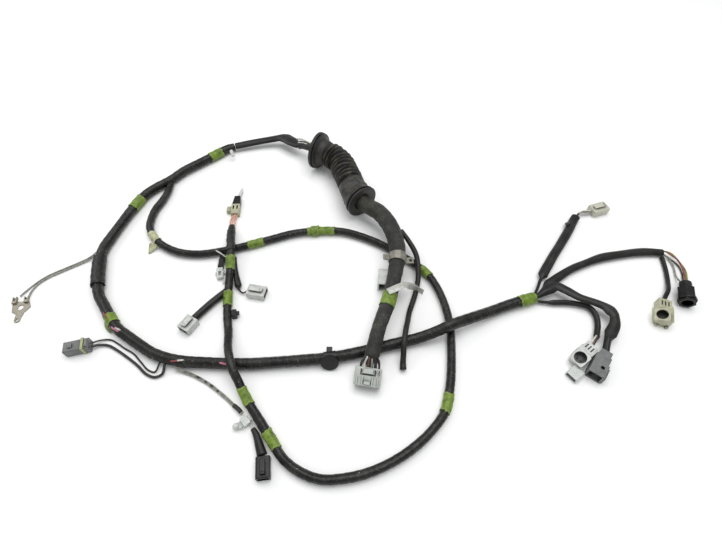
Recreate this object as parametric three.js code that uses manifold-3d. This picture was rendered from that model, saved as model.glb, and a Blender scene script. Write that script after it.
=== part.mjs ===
// Door wiring harness of a car, laid out loose on a flat surface.
// Millimetres, +Z up. The routes are given in a plan frame and the whole group is
// shifted at the end so that the origin is the middle of the footprint, on the surface.

import * as THREE from 'three';
import Module from 'manifold-3d';
import { mergeVertices } from 'three/addons/utils/BufferGeometryUtils.js';

const wasm = await Module();
wasm.setup();

// Spread of the whole lay along x and y: 1 is as laid in the photograph
const spreadX = 1;
const spreadY = 1;

// Clearances and tape
const clearance = 0.3;
const facetTolerance = 0.09;
const tapeThickness = 0.7;
const sheathThickness = 1.2;

// Bundles
const trunkDiameter = 12;
const loopDiameter = 9.2;
const spareDiameter = 6.3;
const stemDiameter = 20;
const stemLowerDiameter = 15.5;
const stemInBootDiameter = 14;
const stemWiresDiameter = 8;
const wireDiameter = 2;
const thickLeadDiameter = 3.4;
const leadDiameter = 3.6;

// Rubber boot
const bootLength = 125;
const bootRimRadius = 25;
const bootRimThickness = 7.5;
const bootNeckRadius = 15.2;
const bellowsRadius = 15.8;
const bellowsDepth = 2.8;
const bellowsPitch = 5.7;
const bellowsCount = 10;
const bootConeLength = 14;
const bootCollarRadius = 17.4;
const bootFlangeRadius = 21.6;
const bootFlangeThickness = 7;
const bootLipLength = 10;
const rimGrooveDepth = 2.4;
const rimGrooveWidth = 1.6;

// Connectors: wall, corner and outside sizes, with the depth of each open mouth
const housingWall = 1.7;
const thinWall = 1.4;
const housingCorner = 1.2;
const ribSink = 0.3;
const bigTilt = -26;
const bigSize = { width: 27, length: 18, height: 14, depth: 10 };
const sideSize = { width: 17, length: 21, height: 15, depth: 12 };
const blockSize = { width: 15, length: 22, height: 10, depth: 12 };
const creamSize = { rear: 13.5, width: 17, length: 30, height: 11, face: 15, bore: 11.6, depth: 9 };
const creamMouth = { at: [4.8, 24.4, 14], lean: [-8, 26, 0] };
const motorSize = { across: 18, length: 28, bore: 11.4, depth: 12 };
const whiteSize = { rear: 12.5, width: 15, length: 23, height: 12, face: 15.4, bore: 12.6, depth: 9 };
const whiteMouth = { at: [-1.3, 23.1, 13], lean: [-20, 0, 0] };
const greySize = { width: 16.5, length: 31, height: 14, depth: 14, rear: 5.5 };
const clearSize = { width: 13, length: 13, height: 7, depth: 8, wall: 1.2 };
const twoWaySize = { width: 12.5, length: 25, height: 11, depth: 12 };
const latchSize = { width: 13, length: 19, height: 9, depth: 9, wall: thinWall };
const clusterSize = { width: 15, length: 21, height: 9, depth: 10, wall: thinWall };
const squareSize = { width: 15, length: 17, height: 10, depth: 9, wall: thinWall };

// Round trim clip
const clipDiscRadius = 9.4;
const clipDiscLean = 1.12;
const clipStrapThickness = 0.7;

// Bare label strip
const labelWidth = 8;
const labelThickness = 0.8;

// Colours of the materials
const vinyl = new THREE.MeshStandardMaterial({ color: 0x2c2b2a, roughness: 0.62 });
const cloth = new THREE.MeshStandardMaterial({ color: 0x33322e, roughness: 0.85 });
const rubber = new THREE.MeshStandardMaterial({ color: 0x2e2d2a, roughness: 0.8 });
const greenTape = new THREE.MeshStandardMaterial({ color: 0x7a9a2f, roughness: 0.45 });
const creamTape = new THREE.MeshStandardMaterial({ color: 0xb3b58f, roughness: 0.5 });
const whiteNylon = new THREE.MeshStandardMaterial({ color: 0xd3d6d0, roughness: 0.45 });
const clearNylon = new THREE.MeshStandardMaterial({ color: 0xdadfd8, roughness: 0.35 });
const creamNylon = new THREE.MeshStandardMaterial({ color: 0xbcbb9d, roughness: 0.45 });
const greyNylon = new THREE.MeshStandardMaterial({ color: 0x777878, roughness: 0.5 });
const blackNylon = new THREE.MeshStandardMaterial({ color: 0x1f1f1f, roughness: 0.45 });
const paper = new THREE.MeshStandardMaterial({ color: 0xd9dad6, roughness: 0.6 });
const steel = new THREE.MeshStandardMaterial({ color: 0xa09a8e, roughness: 0.35, metalness: 0.9 });
const zincBand = new THREE.MeshStandardMaterial({ color: 0x9a9890, roughness: 0.5, metalness: 0.3 });
const greyWire = new THREE.MeshStandardMaterial({ color: 0x8a8a82, roughness: 0.5 });
const blackWire = new THREE.MeshStandardMaterial({ color: 0x262626, roughness: 0.45 });
const yellowWire = new THREE.MeshStandardMaterial({ color: 0x9aa02f, roughness: 0.5 });
const orangeWire = new THREE.MeshStandardMaterial({ color: 0xe0a58f, roughness: 0.5 });

// Routes: plan x, plan y, height of the middle of the bundle
const stemRoute = [
  [-88.4, 192.6, 17.4], [-80, 187, 21], [-68, 177, 25], [-56, 171, 25], [-42, 163, 25], [-29, 149, 25],
  [-20, 127, 25], [-12, 103, 25], [-4, 83, 24.5], [6, 69, 24.5], [22, 56, 24.5], [35, 34, 24.5],
  [41, 10, 24], [42, -12, 23.5], [39, -33, 23], [36, -47, 23], [29, -75, 22.5], [19, -104, 22.3],
  [13, -127, 21], [10.6, -135, 19], [9.1, -139.8, 16.8], [8.3, -144.9, 14.3],
];
const trunkRoute = [
  [-185, 203, 7], [-196, 197, 7], [-209, 185, 7], [-228, 168, 7], [-247, 151, 7], [-262, 132, 7],
  [-277, 118, 7], [-287, 105, 7], [-294, 88, 7], [-300, 69, 7], [-305, 50, 7], [-310, 29, 7],
  [-313, 14, 7], [-312, -3, 7.6], [-308, -20, 7.6], [-302, -40, 7.6], [-295, -56, 7], [-286, -68, 7],
  [-273, -85, 7], [-262, -97, 7], [-246, -108, 7], [-230, -118, 7], [-214, -127, 7], [-191, -134, 7],
  [-158, -137, 7], [-118, -138, 7], [-85, -136, 7], [-52, -133.4, 7], [-32, -131.6, 7], [-10, -127.4, 7],
  [31, -117, 7], [58, -110, 8], [77, -105, 13], [94, -99, 17.3], [114, -90, 14], [145, -76, 7.6],
  [170, -66, 7], [196, -58, 7],
];
const loopRoute = [
  [-260, 128, 5.6], [-260, 112, 5.6], [-263, 95, 5.6], [-268, 79, 5.6], [-269, 63, 5.6],
  [-267, 48, 5.6], [-256, 30, 5.6], [-242, 18, 5.6], [-227, 10, 5.6], [-212, 6, 5.6], [-194, 5, 5.6],
  [-175, 8, 5.6], [-150, 15, 5.6], [-112, 28, 5.6], [-83, 38, 5.6], [-50, 42, 5.6], [-24, 41, 5.6],
  [0, 33, 5.6], [25, 20, 5.6], [48, 3, 5.6], [66, -12, 5.6], [78, -25, 5.6], [87, -43, 5.6],
  [93, -64, 5.6], [96, -90, 5.6], [95, -116, 5.6], [92, -142, 5.6], [88, -163, 5.6], [81, -186, 5.6],
  [66, -205, 5.6], [50, -219, 5.6], [31, -231, 5.6], [8, -241, 5.6], [-14, -246, 5.6], [-36, -247, 5.6],
  [-56, -240, 5.6], [-71, -229, 5.6], [-83, -213, 5.6], [-98, -193, 5.6], [-112, -174, 6.4],
  [-121, -159, 11], [-127, -149, 17], [-132, -136, 18.6], [-137, -122, 14], [-142, -101, 6.6],
  [-147, -80, 5.6], [-150, -59, 5.6], [-152, -38, 7], [-153, -14, 13], [-155, 6, 16], [-158, 22, 15],
  [-162, 46, 9],
];
const spareRoute = [
  [48.8, 31, 18.3], [58, 16, 15.6], [65, -2, 14.6], [66.5, -18, 13.6], [66, -33, 8.6], [63, -47, 4.2],
  [59, -60, 4.2], [54, -74, 5], [50, -91, 11], [47, -104, 16.6], [44.5, -119, 16.8], [43.5, -130, 11],
  [43, -137, 5.4], [43, -143, 4.2],
];
const inletSleeveRoute = [
  [-183.6, 203.6, 7.5], [-165, 209, 8], [-148, 213, 9], [-128, 216, 11], [-114, 215, 14],
  [-102, 205, 16], [-94, 197, 16.5], [-89.8, 193.6, 16.9],
];
const branchARoute = [
  [196, -54.4, 8.8], [201, -46, 8], [206, -36.5, 6.6], [211, -28.6, 5.5], [224, -9, 5],
  [242, 16, 5], [262, 44, 5], [280, 69.6, 5],
];
const wiresARoute = [[280.9, 70.8, 5], [287, 74, 5], [293, 75, 5], [298.6, 75.6, 5]];
const branchBRoute = [
  [196.6, -56.4, 4.2], [204, -50, 4.2], [213, -41, 4.4], [224, -33, 4.8], [247, -18, 4.8],
  [268, -8, 4.8], [290, 0, 4.8], [318, 6, 4.8], [344, 9, 4.8], [366, 8, 4.8],
];
const yellowRoute = [
  [366.8, 9.4, 6], [376, 6, 5], [382, -5, 3], [384.5, -16, 2.6], [380, -29, 5], [373, -39.4, 9.4],
];
const greyFanRoute = [
  [366.7, 6.4, 4], [372, 0, 2.6], [373, -12, 2], [370, -26, 2.6], [368.4, -39.4, 7.6],
];
const tapedBRoute = [
  [364, 2.2, 3], [363, -6, 3], [361, -18, 3], [356.6, -34, 3.6], [350.4, -47.4, 6], [345, -54.6, 5.6],
  [339.1, -62, 5.5],
];
const branchCRoute = [
  [197.2, -59.4, 9.4], [208, -52, 11], [221, -46, 11.6], [231, -52, 12], [243, -61, 12], [257, -67, 12],
  [268, -73, 11.6], [274.5, -82, 11], [272, -94, 11], [264, -105, 11], [258.6, -113, 10.6],
  [255.4, -120.6, 9], [253.4, -125.6, 7.8],
];
const branchDRoute = [
  [198.2, -61.6, 4.4], [212, -63, 4.4], [228, -63, 4.4], [243, -65, 4.4], [254, -69, 4.4],
  [258.6, -79, 4.4], [257, -92, 4.4], [253.6, -101, 4.4], [248.8, -110.5, 6], [241.4, -118.8, 6.4],
];
const clusterSleeveRoute = [[-159.2, -54.2, 5], [-166, -62, 5], [-174, -72, 5], [-182.6, -83.6, 5]];
const clusterLeadRoute = [
  [-148.8, 3, 11.4], [-146.6, -8, 6.4], [-144.4, -20, 3.4], [-141.6, -32, 2.8], [-139, -43, 2.8],
  [-134.6, -48, 3.4], [-129.6, -47.4, 5],
];
const groundARoute = [
  [-319.8, 9, 6], [-328, 2.6, 2.6], [-340, -5, 1.3], [-360, -18, 1.3], [-371, -26, 1.3], [-380, -37, 1.3],
  [-386, -47, 1.3], [-388.6, -53, 1.8],
];
const groundBRoute = [
  [-319.8, 5.6, 6], [-327, 0, 2.6], [-338, -7.4, 1.3], [-358, -20.4, 1.3], [-369, -28.4, 1.3],
  [-376, -37, 1.3], [-379, -46, 1.3], [-378.8, -52.6, 1.8],
];
const thickLeadRoute = [
  [-283, -117.6, 5], [-277, -115, 3], [-268, -115, 2], [-256, -121, 2], [-243, -129, 2],
  [-232, -138, 2], [-222, -147, 2], [-212, -150, 2], [-205, -146.6, 2.6], [-203.2, -138.2, 5.8],
];
const thinLeadRoute = [
  [-284.3, -113.4, 5], [-277, -109, 2.4], [-268, -108, 1.3], [-259, -112.4, 1.3], [-250, -118, 1.3],
  [-239, -124, 1.3], [-229.6, -132.6, 1.3], [-220, -141, 1.3], [-213, -142, 1.6], [-208.8, -135.8, 5.7],
];
const latchLeadRoute = [
  [-189, -142, 5.4], [-180, -145, 2.6], [-169, -149, 2], [-151, -159, 2], [-137, -169, 2],
  [-124, -179.6, 2.4], [-117.6, -184.8, 3.4], [-114.4, -188, 4.4],
];
const latchSleeveRoute = [[-101.6, -202.8, 4.6], [-98, -208, 4.6], [-94, -217, 4.6], [-89.9, -226.4, 4.8]];
const loopEndRoute = [[-162.1, 46.8, 8.8], [-164.6, 55, 6], [-165, 62, 4.8], [-163.4, 69.6, 4.6]];
const labelRoute = [
  [28.9, -66.5, 31.8], [35.4, -63.3, 31.8], [42.1, -59.2, 31], [46.8, -54.4, 26.6], [51.2, -50.3, 20],
  [58.8, -47.2, 12], [64.7, -48.1, 8.9], [70.5, -51.8, 8.2],
];

// Places along the bundles where the boot begins and the clamp and the round clip sit
const bootSpot = [-62.5, 174.5, 25];
const clampSpot = [41.7, -16, 23.5];
const clipSpot = [-32, -131.6, 7];

// Turn a closed geometry into a solid that can be joined and cut
function solid(geometry) {
  const plain = geometry.clone();
  plain.deleteAttribute('normal');
  plain.deleteAttribute('uv');
  const merged = mergeVertices(plain, 1e-4);
  const corners = merged.index.array;
  const kept = [];
  for (let i = 0; i < corners.length; i += 3) {
    const [a, b, c] = [corners[i], corners[i + 1], corners[i + 2]];
    if (a !== b && b !== c && c !== a) kept.push(a, b, c);
  }
  const vertProperties = new Float32Array(merged.attributes.position.array);
  return new wasm.Manifold(new wasm.Mesh({ numProp: 3, vertProperties, triVerts: new Uint32Array(kept) }));
}

function geometryOf(body) {
  const mesh = body.getMesh();
  const geometry = new THREE.BufferGeometry();
  geometry.setAttribute('position', new THREE.BufferAttribute(new Float32Array(mesh.vertProperties), 3));
  geometry.setIndex(new THREE.BufferAttribute(new Uint32Array(mesh.triVerts), 1));
  geometry.computeVertexNormals();
  return geometry;
}

function curveThrough(route) {
  const points = route.map(([x, y, z]) => new THREE.Vector3(x * spreadX, y * spreadY, z));
  const curve = new THREE.CatmullRomCurve3(points, false, 'centripetal');
  curve.arcLengthDivisions = 900;
  return curve;
}

function polygon(width, height, sides) {
  const shape = new THREE.Shape();
  for (let i = 0; i < sides; i += 1) {
    const angle = (i / sides) * 2 * Math.PI;
    const [x, y] = [(height / 2) * Math.cos(angle), (width / 2) * Math.sin(angle)];
    if (i === 0) shape.moveTo(x, y);
    else shape.lineTo(x, y);
  }
  shape.closePath();
  return shape;
}

// A round bundle of one diameter; grow gives the same tube with more on the radius
function roundCord(route, diameter, steps, sides = 8) {
  const curve = curveThrough(route);
  const grow = (extra) => {
    const across = diameter + 2 * extra;
    return new THREE.ExtrudeGeometry(polygon(across, across, sides), { steps, extrudePath: curve });
  };
  const frames = curve.computeFrenetFrames(steps, false);
  const half = diameter / 2;
  const rings = curve.getSpacedPoints(steps).map((point, i) => (
    { point, x: frames.binormals[i], z: frames.normals[i], halfX: half, halfZ: half }
  ));
  return { curve, grow, rings, sides, radius: half };
}

// Upright frame at a share of the length: up stays as near to +Z as the curve lets it
function frameAt(curve, share) {
  const tangent = curve.getTangentAt(share);
  const up = new THREE.Vector3(0, 0, 1).addScaledVector(tangent, -tangent.z).normalize();
  const side = new THREE.Vector3().crossVectors(up, tangent);
  return { point: curve.getPointAt(share), tangent, up, side };
}

// Bend a shape made along its own Y axis (from 0 to 1 of its length) onto a curve
function bend(geometry, curve, shareAt, upSize, sideSize) {
  const position = geometry.attributes.position;
  for (let i = 0; i < position.count; i += 1) {
    const share = Math.min(1, Math.max(0, shareAt(position.getY(i))));
    const { point, up, side } = frameAt(curve, share);
    point.addScaledVector(up, position.getX(i) * upSize(share));
    point.addScaledVector(side, position.getZ(i) * sideSize(share));
    position.setXYZ(i, point.x, point.y, point.z);
  }
  return geometry;
}

// Straight-line reading of a list of [share, value] pairs
function profileAt(pairs, share) {
  const next = pairs.findIndex(([at]) => at >= share);
  if (next <= 0) return pairs[next === 0 ? 0 : pairs.length - 1][1];
  const [s0, v0] = pairs[next - 1];
  const [s1, v1] = pairs[next];
  return v0 + ((v1 - v0) * (share - s0)) / (s1 - s0);
}

// A bundle or flat sleeve whose height and width change along it
function shapedCord(route, tall, wide, steps, sides = 10) {
  const curve = curveThrough(route);
  const grow = (extra) => bend(
    new THREE.CylinderGeometry(1, 1, 1, sides, steps),
    curve,
    (y) => y + 0.5,
    (share) => profileAt(tall, share) / 2 + extra,
    (share) => profileAt(wide, share) / 2 + extra,
  );
  const rings = [];
  for (let i = 0; i <= steps; i += 1) {
    const share = i / steps;
    const { point, up, side } = frameAt(curve, share);
    const [halfX, halfZ] = [profileAt(tall, share) / 2, profileAt(wide, share) / 2];
    rings.push({ point, x: up, z: side, halfX, halfZ });
  }
  return { curve, grow, rings, sides, radius: profileAt(wide, 0.5) / 2 };
}

function nearest(curve, [x, y, z]) {
  const target = new THREE.Vector3(x * spreadX, y * spreadY, z);
  let best = 0;
  let least = Infinity;
  for (let i = 0; i <= 600; i += 1) {
    const distance = curve.getPointAt(i / 600).distanceTo(target);
    if (distance < least) [best, least] = [i / 600, distance];
  }
  return best;
}

// Place of a corner of the bundle's surface, between two of its rings
function onSurface(line, along, cosX, cosZ, extra) {
  const before = Math.min(line.rings.length - 2, Math.floor(along));
  const [p, q] = [before, before + 1].map((i) => {
    const ring = line.rings[i];
    return ring.point.clone()
      .addScaledVector(ring.x, cosX * (ring.halfX + extra))
      .addScaledVector(ring.z, cosZ * (ring.halfZ + extra));
  });
  return p.lerp(q, along - before);
}

// Tape wound round a bundle: a sleeve that follows the facets of the bundle
function tape(line, spot, width, thickness = tapeThickness) {
  const steps = line.rings.length - 1;
  const middle = nearest(line.curve, spot) * steps;
  const reach = (width / 2 / line.curve.getLength()) * steps;
  const snap = (along) => (Math.abs(along - Math.round(along)) < 0.15 ? Math.round(along) : along);
  const [first, last] = [snap(middle - reach), snap(middle + reach)];
  const stations = [first];
  for (let i = Math.floor(first) + 1; i < last; i += 1) stations.push(i);
  stations.push(last);
  const outer = stations.map((along) => new THREE.Vector2(clearance + thickness, along));
  const inner = stations.map((along) => new THREE.Vector2(clearance, along)).reverse();
  const sleeve = new THREE.LatheGeometry([...outer, ...inner, outer[0]], line.sides);
  const position = sleeve.attributes.position;
  for (let i = 0; i < position.count; i += 1) {
    const [x, along, z] = [position.getX(i), position.getY(i), position.getZ(i)];
    const extra = Math.hypot(x, z);
    const corner = onSurface(line, along, x / extra, z / extra, extra);
    position.setXYZ(i, corner.x, corner.y, corner.z);
  }
  return solid(sleeve);
}

function roundedRectangle(width, height, corner) {
  const [x, y] = [width / 2, height / 2];
  const shape = new THREE.Shape();
  shape.moveTo(-x + corner, -y);
  shape.lineTo(x - corner, -y);
  shape.absarc(x - corner, -y + corner, corner, -Math.PI / 2, 0);
  shape.lineTo(x, y - corner);
  shape.absarc(x - corner, y - corner, corner, 0, Math.PI / 2);
  shape.lineTo(-x + corner, y);
  shape.absarc(-x + corner, y - corner, corner, Math.PI / 2, Math.PI);
  shape.lineTo(-x, -y + corner);
  shape.absarc(-x + corner, -y + corner, corner, Math.PI, Math.PI * 1.5);
  return shape;
}

// Extrude an outline drawn in x and z along +Y, from a given y
function prism(shape, length, y = 0, x = 0, z = 0) {
  const options = { depth: length, bevelEnabled: false, curveSegments: 3 };
  const geometry = new THREE.ExtrudeGeometry(shape, options);
  geometry.rotateX(Math.PI / 2);
  geometry.translate(x, y + length, z);
  return solid(geometry);
}

// Extrude a plan outline upwards from a given height
function plate(shape, thickness, z = 0) {
  const options = { depth: thickness, bevelEnabled: false, curveSegments: 5 };
  const geometry = new THREE.ExtrudeGeometry(shape, options);
  geometry.translate(0, 0, z);
  return solid(geometry);
}

// Box from its middle in x, its near y and its lower z
function box(width, length, height, x, y, z) {
  const geometry = new THREE.BoxGeometry(width, length, height);
  geometry.translate(x, y + length / 2, z + height / 2);
  return solid(geometry);
}

function rod(radius, length, y, x, z, sides = 16) {
  const geometry = new THREE.CylinderGeometry(radius, radius, length, sides);
  geometry.translate(x, y + length / 2, z);
  return solid(geometry);
}

// Connector housing with its open mouth at the +Y end and its wires at y = 0
function housing({ width, length, height, depth, wall = housingWall, corner = housingCorner }) {
  const outside = prism(roundedRectangle(width, height, corner), length, 0, 0, height / 2);
  const inside = roundedRectangle(width - 2 * wall, height - 2 * wall, corner / 2);
  return outside.subtract(prism(inside, depth + 1, length - depth, 0, height / 2));
}

// Rubber boot: one flanged rim, a cone, the bellows, a collar and a second flange
function bootProfile() {
  const bore = stemInBootDiameter / 2 + 2 * clearance;
  const mouth = stemDiameter / 2 + 2 * clearance;
  const profile = [];
  const add = (radius, along) => profile.push(new THREE.Vector2(radius, along));
  const lipWidth = (bootRimThickness - rimGrooveWidth) / 2;
  add(bore, 0);
  add(bootRimRadius - 1, 0);
  add(bootRimRadius, 1);
  add(bootRimRadius, lipWidth);
  add(bootRimRadius - rimGrooveDepth, lipWidth);
  add(bootRimRadius - rimGrooveDepth, lipWidth + rimGrooveWidth);
  add(bootRimRadius - 0.5, lipWidth + rimGrooveWidth);
  add(bootRimRadius - 1.5, bootRimThickness);
  const bellowsStart = bootRimThickness + bootConeLength;
  add(bootNeckRadius, bellowsStart);
  for (let i = 0; i < bellowsCount; i += 1) {
    const start = bellowsStart + i * bellowsPitch;
    add(bellowsRadius - bellowsDepth, start + bellowsPitch * 0.2);
    add(bellowsRadius, start + bellowsPitch * 0.7);
  }
  const bellowsEnd = bellowsStart + bellowsCount * bellowsPitch;
  const flangeStart = bootLength - bootFlangeThickness;
  const flangeLip = (bootFlangeThickness - rimGrooveWidth) / 2;
  add(bellowsRadius - bellowsDepth, bellowsEnd);
  add(bootCollarRadius, bellowsEnd + 5);
  add(bootCollarRadius + 0.4, (bellowsEnd + flangeStart) / 2);
  add(bootCollarRadius + 2, flangeStart - 2);
  add(bootFlangeRadius - 0.6, flangeStart);
  add(bootFlangeRadius - 0.6, flangeStart + flangeLip);
  add(bootFlangeRadius - rimGrooveDepth, flangeStart + flangeLip);
  add(bootFlangeRadius - rimGrooveDepth, flangeStart + flangeLip + rimGrooveWidth);
  add(bootFlangeRadius, flangeStart + flangeLip + rimGrooveWidth);
  add(bootFlangeRadius, bootLength - 1);
  add(bootFlangeRadius - 1, bootLength);
  add(mouth, bootLength);
  add(mouth, bootLength - bootLipLength);
  const boreLength = bootLength - bootLipLength - 5;
  const boreSteps = 9;
  for (let i = 0; i <= boreSteps; i += 1) {
    add(bore, boreLength * (1 - i / boreSteps));
  }
  return profile;
}

function boot(stem, startSpot) {
  const length = stem.curve.getLength();
  const start = nearest(stem.curve, startSpot);
  const lathe = new THREE.LatheGeometry(bootProfile(), 18);
  bend(lathe, stem.curve, (y) => start + y / length, () => 1, () => 1);
  return solid(lathe);
}

// Steel band clamp with an ear on one side and a lug on the other
function bandClamp(stem, spot) {
  const ring = tape(stem, spot, 10, 1.2);
  const { point } = frameAt(stem.curve, nearest(stem.curve, spot));
  const reach = stem.radius + clearance + 0.6;
  const ear = box(7, 7, 1.6, -reach - 2.6, -3.5, -2).rotate([0, 20, 0]);
  const lug = box(9, 8, 2.4, reach + 3.4, -5, -3).subtract(box(3, 4, 4, reach + 4.6, -3, -4));
  const slotted = ear.add(lug).translate([point.x, point.y, point.z]);
  const hollow = solid(stem.grow(clearance));
  return ring.add(slotted).subtract(hollow);
}

// Big housing at the end of the stem: keyed mouth, latch tab in a U-shaped slot, ribs and wire cells
function bigConnector({ width, length, height, depth }) {
  let body = housing({ width, length, height, depth });
  const mouthFloor = length - depth - 0.5;
  body = body.add(box(width - 10, depth * 0.3, 2.4, 0, mouthFloor, height / 2 - 1.2));
  const slotFloor = height - 1;
  const slotWidth = 1.5;
  const ribBase = height - ribSink;
  for (const side of [-1, 1]) {
    body = body.subtract(box(slotWidth, 6, 2, side * 7, 1.8, slotFloor));
  }
  body = body.subtract(box(12, slotWidth, 2, 0, 6.3, slotFloor));
  body = body.add(box(10, 4.4, 1.5, 0, 1.4, ribBase));
  for (const place of [-11.8, -9.6]) {
    body = body.add(box(0.9, 4, 1.4, place, 1.6, ribBase));
  }
  for (const place of [-10.4, -5, 5, 10.4]) {
    body = body.add(box(1.2, length - 9, 0.9, place, 8.6, ribBase));
  }
  body = body.add(box(6, 3, 1.3, 0, length - 4.5, ribBase));
  const cellPitch = 3.4;
  for (const row of [2.8, 9]) {
    for (let cell = -3; cell <= 3; cell += 1) {
      body = body.subtract(box(2.2, 3.5, 2.2, cell * cellPitch, -1, row));
    }
  }
  return body;
}

// Plain locking housing with a latch arm over its top
function latchedHousing({ width, length, height, depth, wall = housingWall }) {
  const body = housing({ width, length, height, depth, wall });
  const armWidth = width * 0.36;
  const arm = box(armWidth, length * 0.72, 1.4, 0, length * 0.12, height + 1.2);
  const root = box(armWidth, 2.4, 2, 0, length * 0.12, height - 0.4);
  const nib = box(armWidth, 1.8, 1.2, 0, length * 0.84 - 1.8, height + 2.4);
  return body.add(arm).add(root).add(nib);
}

// Grey housing: narrower rear, a step down its side, a square hole and an open front
function greyConnector({ width, length, height, depth, rear }) {
  let body = housing({ width, length, height, depth });
  for (const side of [-1, 1]) {
    body = body.subtract(box(rear, length * 0.22, height + 2, side * (width / 2), 0, -1));
  }
  body = body.subtract(box(3, length * 0.3, height + 2, -width / 2, length * 0.22, -1));
  body = body.add(box(1.6, length * 0.4, height - 3, -width / 2 - 0.5, length * 0.58, 1));
  return body.subtract(box(3.6, 3.6, 4, -2.6, length * 0.62, height - 2.4));
}

// Housing with a leaning round socket at its front, two feet, and slots in its top
function roundSocket({ rear, width, length, height, face, bore, depth }, { at, lean }) {
  const outline = new THREE.Shape();
  outline.moveTo(-rear / 2, 0);
  outline.lineTo(rear / 2, 0);
  outline.lineTo(rear / 2, 6);
  outline.lineTo(width / 2, 9);
  outline.lineTo(width / 2, length - 2);
  outline.lineTo(width / 2 - 3, length);
  outline.lineTo(3 - width / 2, length);
  outline.lineTo(-width / 2, length - 2);
  outline.lineTo(-width / 2, 9);
  outline.lineTo(-rear / 2, 6);
  outline.closePath();
  let body = plate(outline, height);
  for (const place of [-3.4, 0, 3.4]) {
    body = body.subtract(box(1.3, 6, 2, place, 3, height - 1.4));
  }
  for (const side of [-1, 1]) {
    body = body.add(box(3, 4, 3, side * (width / 2 - 3.4), length - 2, 0));
  }
  const towerLength = depth + 2;
  const tower = plate(roundedRectangle(face, face, 2.4), towerLength, -towerLength);
  const socket = new THREE.CylinderGeometry(bore / 2, bore / 2, depth + 1, 20);
  socket.rotateX(Math.PI / 2);
  socket.translate(0, 0, (1 - depth) / 2);
  body = body.add(tower.rotate(lean).translate(at)).subtract(solid(socket).rotate(lean).translate(at));
  const contact = new THREE.CylinderGeometry(1, 1, 2.4, 8);
  contact.rotateX(Math.PI / 2);
  contact.translate(0, 0, 0.7 - depth);
  for (const side of [-1, 1]) {
    body = body.add(solid(contact).translate([side * 1.8, 0, 0]).rotate(lean).translate(at));
  }
  return body;
}

// Black motor plug: a six-sided barrel with a collar and an open round mouth
function motorPlug({ across, length, bore, depth }) {
  const hexagon = polygon(across, across, 6);
  const body = prism(hexagon, length * 0.7, length * 0.3, 0, across / 2);
  const rear = prism(polygon(across * 0.72, across * 0.72, 12), length * 0.3 + 1, 0, 0, across / 2);
  const ring = prism(polygon(across * 1.06, across * 1.06, 12), 3, length - 6, 0, across / 2);
  const outside = body.add(rear).add(ring);
  return outside.subtract(rod(bore / 2, depth + 1, length - depth, 0, across / 2, 20));
}

// Flat ring terminal with two wire barrels and a tail eye
function earthBracket() {
  const outline = new THREE.Shape();
  outline.moveTo(-9, 6);
  outline.lineTo(-6, 8.6);
  outline.lineTo(8.6, 6);
  outline.lineTo(11, -2);
  outline.lineTo(5, -8);
  outline.lineTo(2.4, -16);
  outline.absarc(-0.6, -17, 3.2, 0.3, Math.PI, true);
  outline.lineTo(-3, -9);
  outline.lineTo(-8, -5);
  outline.closePath();
  const pierce = (radius, x, y) => {
    const cutter = new THREE.CylinderGeometry(radius, radius, 4, 16);
    cutter.rotateX(Math.PI / 2);
    cutter.translate(x, y, 0);
    return solid(cutter);
  };
  const flat = plate(outline, 1.1).subtract(pierce(3.2, 0.4, -0.6)).subtract(pierce(1.5, -0.6, -17));
  const barrels = [[-7, 7.4, 9], [5.6, 6.4, 8]].map(([x, y, length]) => {
    const trough = box(2.6, length - 3.4, 3, x, y + 1.6, 0.8);
    return box(4.4, length, 3.2, x, y - 2, 0).subtract(trough);
  });
  return barrels.reduce((all, barrel) => all.add(barrel), flat);
}

// Two-way housing with its retainer bar across the top
function twoWayConnector() {
  const { width, length, height } = twoWaySize;
  const bar = box(width + 1.2, 2.6, height + 0.9, 0, 5, 0);
  const ramp = box(5, 4, 1.6, 0, length - 9, height - 0.4);
  const hood = box(8.6, 3, 1.2, 0, 1, height - 0.3);
  return housing(twoWaySize).add(bar).add(ramp).add(hood);
}

// Round trim clip: strap round the trunk, a disc leaning on its front and a tab behind
function roundClip(trunk, spot) {
  const { point } = frameAt(trunk.curve, nearest(trunk.curve, spot));
  const strap = tape(trunk, spot, 13, clipStrapThickness);
  const disc = new THREE.CylinderGeometry(clipDiscRadius, clipDiscRadius, 2.2, 18);
  disc.rotateX(Math.PI / 2 + clipDiscLean);
  const stand = trunk.radius + clearance + clipStrapThickness + 0.1;
  const [out, rise] = [Math.sin(clipDiscLean), Math.cos(clipDiscLean)];
  disc.translate(point.x, point.y - stand * out, point.z + stand * rise);
  const ridge = box(14, 3, 2.4, point.x, point.y - 1.5, point.z + trunk.radius - 0.2);
  const tail = box(6, 7, 3.4, point.x - 1, point.y + trunk.radius - 1, point.z - 2);
  const joined = strap.add(solid(disc)).add(ridge).add(tail);
  return joined.subtract(solid(trunk.grow(clearance)));
}

// Edge clip of white nylon on the latch lead
function latchClip() {
  const plateBody = box(13, 6, 2, 0, -3, 3.4);
  const grip = box(7, 9, 6.6, 1.4, -4.5, 0);
  const bulb = new THREE.SphereGeometry(3.4, 10, 6);
  bulb.translate(-8, 1.4, 4.2);
  const leg = box(3, 8, 2.2, 4, -11, 0);
  return plateBody.add(grip).add(solid(bulb)).add(leg);
}

// Small translucent clip with a thin tail
function clusterClip() {
  const body = prism(roundedRectangle(7.6, 5.4, 1), 15, -7.5, 0, 2.9);
  const wing = box(11, 4, 1.6, 0, -1, 2);
  const tail = box(1.8, 8, 1.4, 3, -14.4, 1.4);
  return body.add(wing).add(tail).subtract(box(3, 6, 3, 0, -4, 3.6));
}

// Black two-pole plug beside the crossing, with a rib on each side
function clusterPlug() {
  const body = prism(roundedRectangle(6.4, 6, 1), 17.8, 0, 0, 3);
  return body.add(box(7.8, 3, 3, 0, 9, 1.6));
}

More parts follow.
